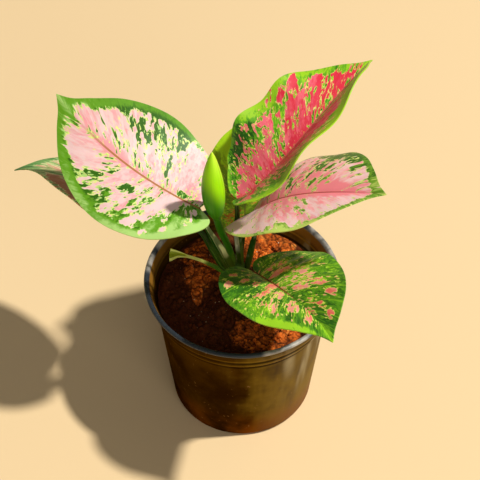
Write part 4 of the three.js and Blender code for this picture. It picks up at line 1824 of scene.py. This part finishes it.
LEAVES = (
    Leaf(
        node="leaf_left_large",
        slot=Slot.PALE_PINK,
        finish=PALE_PINK,
        stalk=CREAM_STALK,
        rib=((-21, -10, 157), (-46, 3, 160), (-72, 20, 168), (-92, 40, 186)),
        petiole=((-3.2, 0.7, 92), (-7.4, -1, 104), (-11.8, -2.4, 118), (-17, -4.4, 134), (-20.5, -7.5, 148)),
        half_width=(31.5, 34),
        roll=(-5, 42),
        fold=(-5, -2),
        curl=(-6, 12),
        wave=Wave(0.6, 2.5, 0.2),
        lobe=(1, 0.1),
        ground=-0.42,
        ground_light=-0.42,
        border=(4.2, 3.2),
        border_green=(1.05, 1.1),
        border_light=0.55,
        wing=2.4,
        marks=marks(
            (0, 100, 160, 10, 60, 30),
            (-64, 80, 32, 12, -90, 30),
            (66, 86, 30, 6, -90, 30),
            (-60, 14, 95, 30, 66, 40, -90),
            (-95, 32, 55, 24, 62, 26, -90),
            (-62, 25, 20, 4, -80, 30, -30),
            (-30, 20, 18, 3.5, -80, 30, -30),
            (-80, 33, 20, 3.5, -70, 30, -30),
            (-45, 11, 20, 3, -60, 30, -30),
            (-77, 47, 14, 2.2, -90, 0, -40),
            (-90, 40, 11, 2.2, -120, 0, -40),
            (-90, 25, 8, 3, -120, 0, -40),
            (-95, 44, 35, 28, 24, 15),
            (100, 60, 30, 30, 0, -8),
            (-15, 26, 12, 3, 50),
            (-45, 31, 45, 3.5, 42, 25),
            (-55, 40, 50, 3, 30, 30),
            (-20, 41, 30, 8, -38, 40, -60),
            (-78, 64, 45, 10, 40, 10),
            (-40, 51, 60, 4.5, 26, 30),
            (-35, 59.5, 14, 3, 70, -30),
            (-45, 69, 50, 4.5, 30, -10),
            (76, 58, 36, 20, 42, -10),
            (25, 74.5, 28, 1.8, 60, -30),
            (30, 65.5, 30, 2.5, 42, -20),
            (35, 51.5, 27, 1.4, 70, -30),
            (50, 80, 30, 5, 20, 10),
            (8, 38, 10, 5, 80, 10),
            (70, 40, 60, 6, -60, 30),
            (5, 78, 22, 10, -20, 0, 60),
            (-35, 84, 40, 7, -20),
            (20, 30, 30, 12, 0, 0, 50),
        ),
    ),
    Leaf(
        node="leaf_left_lower",
        slot=Slot.GREEN,
        finish=DULL_GREEN,
        stalk=DARK_STALK,
        rib=((-38, 9, 128), (-68, 18, 127), (-90, 49, 134), (-121, 46, 125)),
        petiole=((-4.8, 4.4, 90), (-10.3, 3, 98), (-15.7, 3, 111), (-21, 4, 123), (-28, 6, 129.5)),
        half_width=(22, 19.5),
        roll=(-1, -22),
        fold=(15, 9),
        curl=(-8, -7),
        wave=Wave(0.6, 3, 0.5),
        ground=0.06,
        border=(1.8, 1.0),
        marks=marks(
            (-85, 58, 50, 26, -70, 0, 90),
            (20, 35, 90, 30, -6, 0, -50),
            (0, 100, 160, 10, 40, -70),
            (30, 80, 75, 16, -30, 40, -60),
            (50, 70, 40, 5, -30, 0, -60),
        ),
    ),
    Leaf(
        node="leaf_back",
        slot=Slot.BACK,
        finish=OLIVE,
        stalk=GREEN_STALK,
        rib=((1, 16.5, 114), (2, 25.5, 132), (1, 33.5, 152), (9, 50.5, 164)),
        petiole=((-2.3, 6.6, 91), (-1.4, 10, 99), (0.2, 13.5, 107)),
        half_width=(22, 19),
        roll=(1, 0),
        fold=(9, -16),
        curl=(-9, -6),
        wave=Wave(0.6, 2.5, 0),
        ground=0.3,
        # The top left mark is painted light, lit lime where the sun falls on it; the two lower marks are
        # painted a little darker, as painted shade from the leaf above.
        marks=marks(
            (-60, 85, 90, 28, 30, 90),
            (-30, 30, 60, 15, -30, -10),
            (-30, 60, 80, 16, 0, -20),
        ),
    ),
    Leaf(
        node="leaf_upper_right",
        slot=Slot.CRIMSON,
        finish=CRIMSON,
        stalk=GREEN_STALK,
        rib=((-2.5, -2, 155), (12.5, 0, 159), (38.5, 16, 203), (65.5, 62, 188.5)),
        petiole=((-0.9, 2.8, 98.2), (-1.1, 3.8, 106), (-2, 6, 117), (-2.5, 6, 131), (-2.8, 2.4, 144)),
        half_width=(31, 27.5),
        roll=(1, 27),
        fold=(21, 38),
        curl=(6, -6),
        wave=Wave(3, 3, 0.13),
        lobe=(0.3, 0.2),
        ground=-0.22,
        ground_light=-0.15,
        border=(2.6, 3.0),
        border_green=(0.6, 0.6),
        border_light=0.34,
        marks=marks(
            (0, 100, 160, 9, 60, 90),
            (-45, 80, 70, 9, -18, 0, 90),
            (-35, 67, 50, 9, -22, 0, 30),
            (-95, 68, 35, 12, 28, 35, 30),
            (-88, 66, 16, 2.2, -75, 0, 30),
            (-78, 73, 16, 2, -60, 0, 20),
            (-80, 61, 10, 2, -60, 0, 40),
            (-97, 57, 12, 2.5, -80, 0, 60),
            (-30, 10, 70, 8, 50),
            (-55, 58, 50, 5, 22, 30),
            (-80, 40, 40, 14, 42, -25),
            (-95, 53, 22, 9, 45, 70),
            (-70, 90, 45, 6, -55, 0, 70),
            (100, 60, 35, 35, 40, 70),
            (-70, 20, 60, 14, 45, 10),
            (-20, 45, 30, 12, -25),
            (-25, 26, 28, 7, -40, 0, -90),
            (50, 85, 50, 6, -20, 0, 100),
            (90, 80, 35, 20, 60, 60),
            (30, 62, 50, 14, -20, 0, 40),
            (60, 42, 60, 10, 40, 10),
            (30, 34, 30, 3, -40, 0, 80),
            (60, 20, 60, 12, 50, -20),
        ),
    ),
    Leaf(
        node="leaf_right",
        slot=Slot.SALMON,
        finish=SALMON,
        stalk=GREEN_STALK,
        rib=((7, 6, 136), (16, -0.5, 158.5), (40.5, -6.5, 166), (67, -24.5, 182.5)),
        petiole=((1.3, 4.8, 90), (3.3, 4.9, 98), (4.8, 5.6, 108), (6.6, 6, 122)),
        half_width=(35, 33),
        roll=(3, -4),
        fold=(27, 20),
        curl=(-69, -24),
        wave=Wave(0.9, 2.5, 0.3),
        ground=-0.5,
        ground_light=-0.1,
        border=(1.7, 1.3),
        border_green=(0.8, 1.0),
        border_light=0.3,
        marks=marks(
            (0, 100, 160, 4.5, 60, 40),
            (-90, 74, 30, 16, 42, -30),
            (-95, 50, 24, 27, 55, -30),
            (-50, 60, 60, 14, 36, -30, 30),
            (-10, 62, 50, 32, 0, 0, 45),
            (20, 72, 70, 30, 0, 0, 45),
            (-20, 72, 25, 6, 30, 20),
            (-50, 38, 60, 12, 40, -20),
            (-10, 58, 14, 5, 30, -30),
            (0, 82, 50, 10, -10, 0, 60),
            (50, 75, 50, 15, -15, 0, -40),
            (35, 68, 20, 2, 50, 10),
            (30, 60, 40, 10, 12, 10),
            (98, 58, 20, 13, 60, 60),
            (80, 36, 40, 12, 15, 100, -80),
            (0, 40, 20, 20, 0, 0, 50),
        ),
    ),
    Leaf(
        node="leaf_front",
        slot=Slot.GREEN,
        finish=MOSSY,
        stalk=GREEN_STALK,
        rib=((6, -14, 113), (20, -36, 126), (35, -56, 135), (42, -77, 138)),
        petiole=((-0.5, 1.2, 88), (2.4, -2.6, 97), (5, -8, 105)),
        half_width=(30, 30),
        roll=(9, -12),
        fold=(27, 22),
        curl=(-30, -22),
        wave=Wave(0.8, 2.5, 0.1),
        ground=0.3,
        ground_light=-0.15,
        border=(2.5, 2.5),
        border_green=(0.3, 0.3),
        border_light=0.0,
        pleat=0.22,
        marks=marks(
            (0, 100, 160, 12, 20, 75),
            (100, 76, 24, 17, 50, 85),
            (85, 60, 30, 20, 0, 30),
            (-100, 50, 30, 45, 0, 15),
            (75, 30, 50, 20, 0, -15),
            (60, 40, 55, 20, 6, -25),
            (30, 74.5, 28, 4.2, -62),
            (20, 65, 20, 4, -60, 30),
            (12, 56, 20, 4, -60, 0, 30),
            (36, 58, 16, 2.5, -50, 0, 50),
            (33, 84, 36, 3.2, -50, 0, 20),
            (62, 66, 16, 3, -50, 50),
            (55, 57, 12, 2, -50, 0, 50),
            (30, 48, 14, 3, -50, 0, 30),
            (45, 40.5, 14, 3.5, -80, 0, 20),
            (80, 39, 14, 3.2, -80, 0, 20),
            (66, 31, 15, 4, -90, 0, 20),
            (30, 32, 14, 3.5, -60),
            (-78, 83, 14, 5, -60, 0, 50),
            (-55, 79, 17, 3, -60, 0, 80),
            (-34, 76.5, 20, 2.5, -55, 0, 70),
            (-10, 84, 25, 3, -45, 0, 30),
            (-77, 72, 12, 2, -60, 0, 60),
            (-60, 66, 16, 3, -55, 60, 20),
            (-27, 66.5, 17, 3, -50, 60, 20),
            (-32, 58, 40, 9, -30, 40, -30),
            (-25, 46, 30, 4, -75),
            (-50, 38.5, 20, 3, -50, 0, 20),
            (-20, 34, 30, 5, -50, 30, 10),
            (-60, 52, 30, 3, -10, 50),
        ),
    ),
)
CANE = Cane(axis=(-2, 3.5, 0), finish=CANE_BARK)
BUD = FlowerBud(
    way=(
        (-4.4, 4.8, 97),
        (-5.7, 2.1, 107),
        (-8, -3, 123),
        (-11.4, -8.6, 141),
        (-13.1, -11.6, 156),
        (-14.2, -12, 170),
        (-14.5, -12.2, 184),
        (-14.2, -12, 198),
    ),
)
STUB = CutPetiole(
    way=((-4, 4, 86), (-13, 7.5, 90), (-23, 12.5, 91), (-32, 16.5, 90), (-39.2, 17, 90.6)),
    finish=CUT_GREEN,
)


@dataclass
class Studio:
    """A plain pale floor, soft lights and the camera at the photograph's angle.

    The studio's sizes and distances are in metres, and its aim is in millimetres as the plant is.
    """

    aim: Place = (-1.2, 0, 121.7)
    camera_distance: float = 0.7
    camera_elevation: float = 49.2
    lens: float = 102.75
    floor_size: float = 16.0
    floor_colour: Colour = (0.80, 0.60, 0.35)
    sky: Colour = (1.0, 0.95, 0.88)
    sky_strength: float = 0.16

    def floor(self) -> None:
        """Lays the floor."""
        Workshop.start()
        bpy.ops.mesh.primitive_plane_add(size=self.floor_size, location=(0, 0, 0))
        floor = bpy.context.object
        floor.name = "studio_floor"
        floor.data.materials.append(
            Paint("pale_floor", self.floor_colour).done(roughness=0.9, specular_ior_level=0.1)
        )

    def lamp(
        self, name: str, direction: Vector, distance: float, size: float, power: float, tint: Colour
    ) -> None:
        """Hangs one soft lamp that faces the plant.

        Args:
            name: The lamp's name.
            direction: Where it hangs, seen from the plant.
            distance: How far away.
            size: Its width.
            power: Its strength in watts.
            tint: Its colour.
        """
        data = bpy.data.lights.new(name, "AREA")
        data.shape = "DISK"
        data.size = size
        data.energy = power
        data.color = tint
        lamp = bpy.data.objects.new(name, data)
        lamp.location = Vector(self.aim) * MM + direction.normalized() * distance
        lamp.rotation_euler = direction.to_track_quat("Z", "Y").to_euler()
        bpy.context.scene.collection.objects.link(lamp)

    def camera(self) -> None:
        """Sets the camera."""
        tilt = math.radians(self.camera_elevation)
        data = bpy.data.cameras.new("camera")
        data.lens = self.lens
        camera = bpy.data.objects.new("camera", data)
        back = Vector((0, -math.cos(tilt), math.sin(tilt)))
        camera.location = Vector(self.aim) * MM + back * self.camera_distance
        camera.rotation_euler = (math.pi / 2 - tilt, 0, 0)
        bpy.context.scene.collection.objects.link(camera)
        bpy.context.scene.camera = camera

    def build(self) -> None:
        """Sets up floor, lights, world and camera."""
        self.floor()
        self.lamp(
            "key_lamp", Vector((0.5, -0.04, 0.86)), distance=5.0, size=0.26, power=290, tint=(1.0, 0.97, 0.9)
        )
        self.lamp(
            "fill_lamp", Vector((0.3, -0.9, 0.5)), distance=1.8, size=1.4, power=7.5, tint=(1.0, 0.97, 0.92)
        )
        world = bpy.data.worlds.new("studio_world")
        world.use_nodes = True
        background = world.node_tree.nodes["Background"]
        background.inputs["Color"].default_value = (*self.sky, 1.0)
        background.inputs["Strength"].default_value = self.sky_strength
        bpy.context.scene.world = world
        bpy.context.scene.view_settings.view_transform = "Standard"
        self.camera()


def main() -> None:
    """Builds the studio, the pot, the soil and the plant in order."""
    logging.basicConfig(level=logging.INFO, format="%(name)s: %(message)s")
    pot = NurseryPot()
    for part in (Studio(), pot, PottingSoil(pot), CANE, *LEAVES, BUD, STUB):
        part.build()


if __name__ == "__main__":
    main()
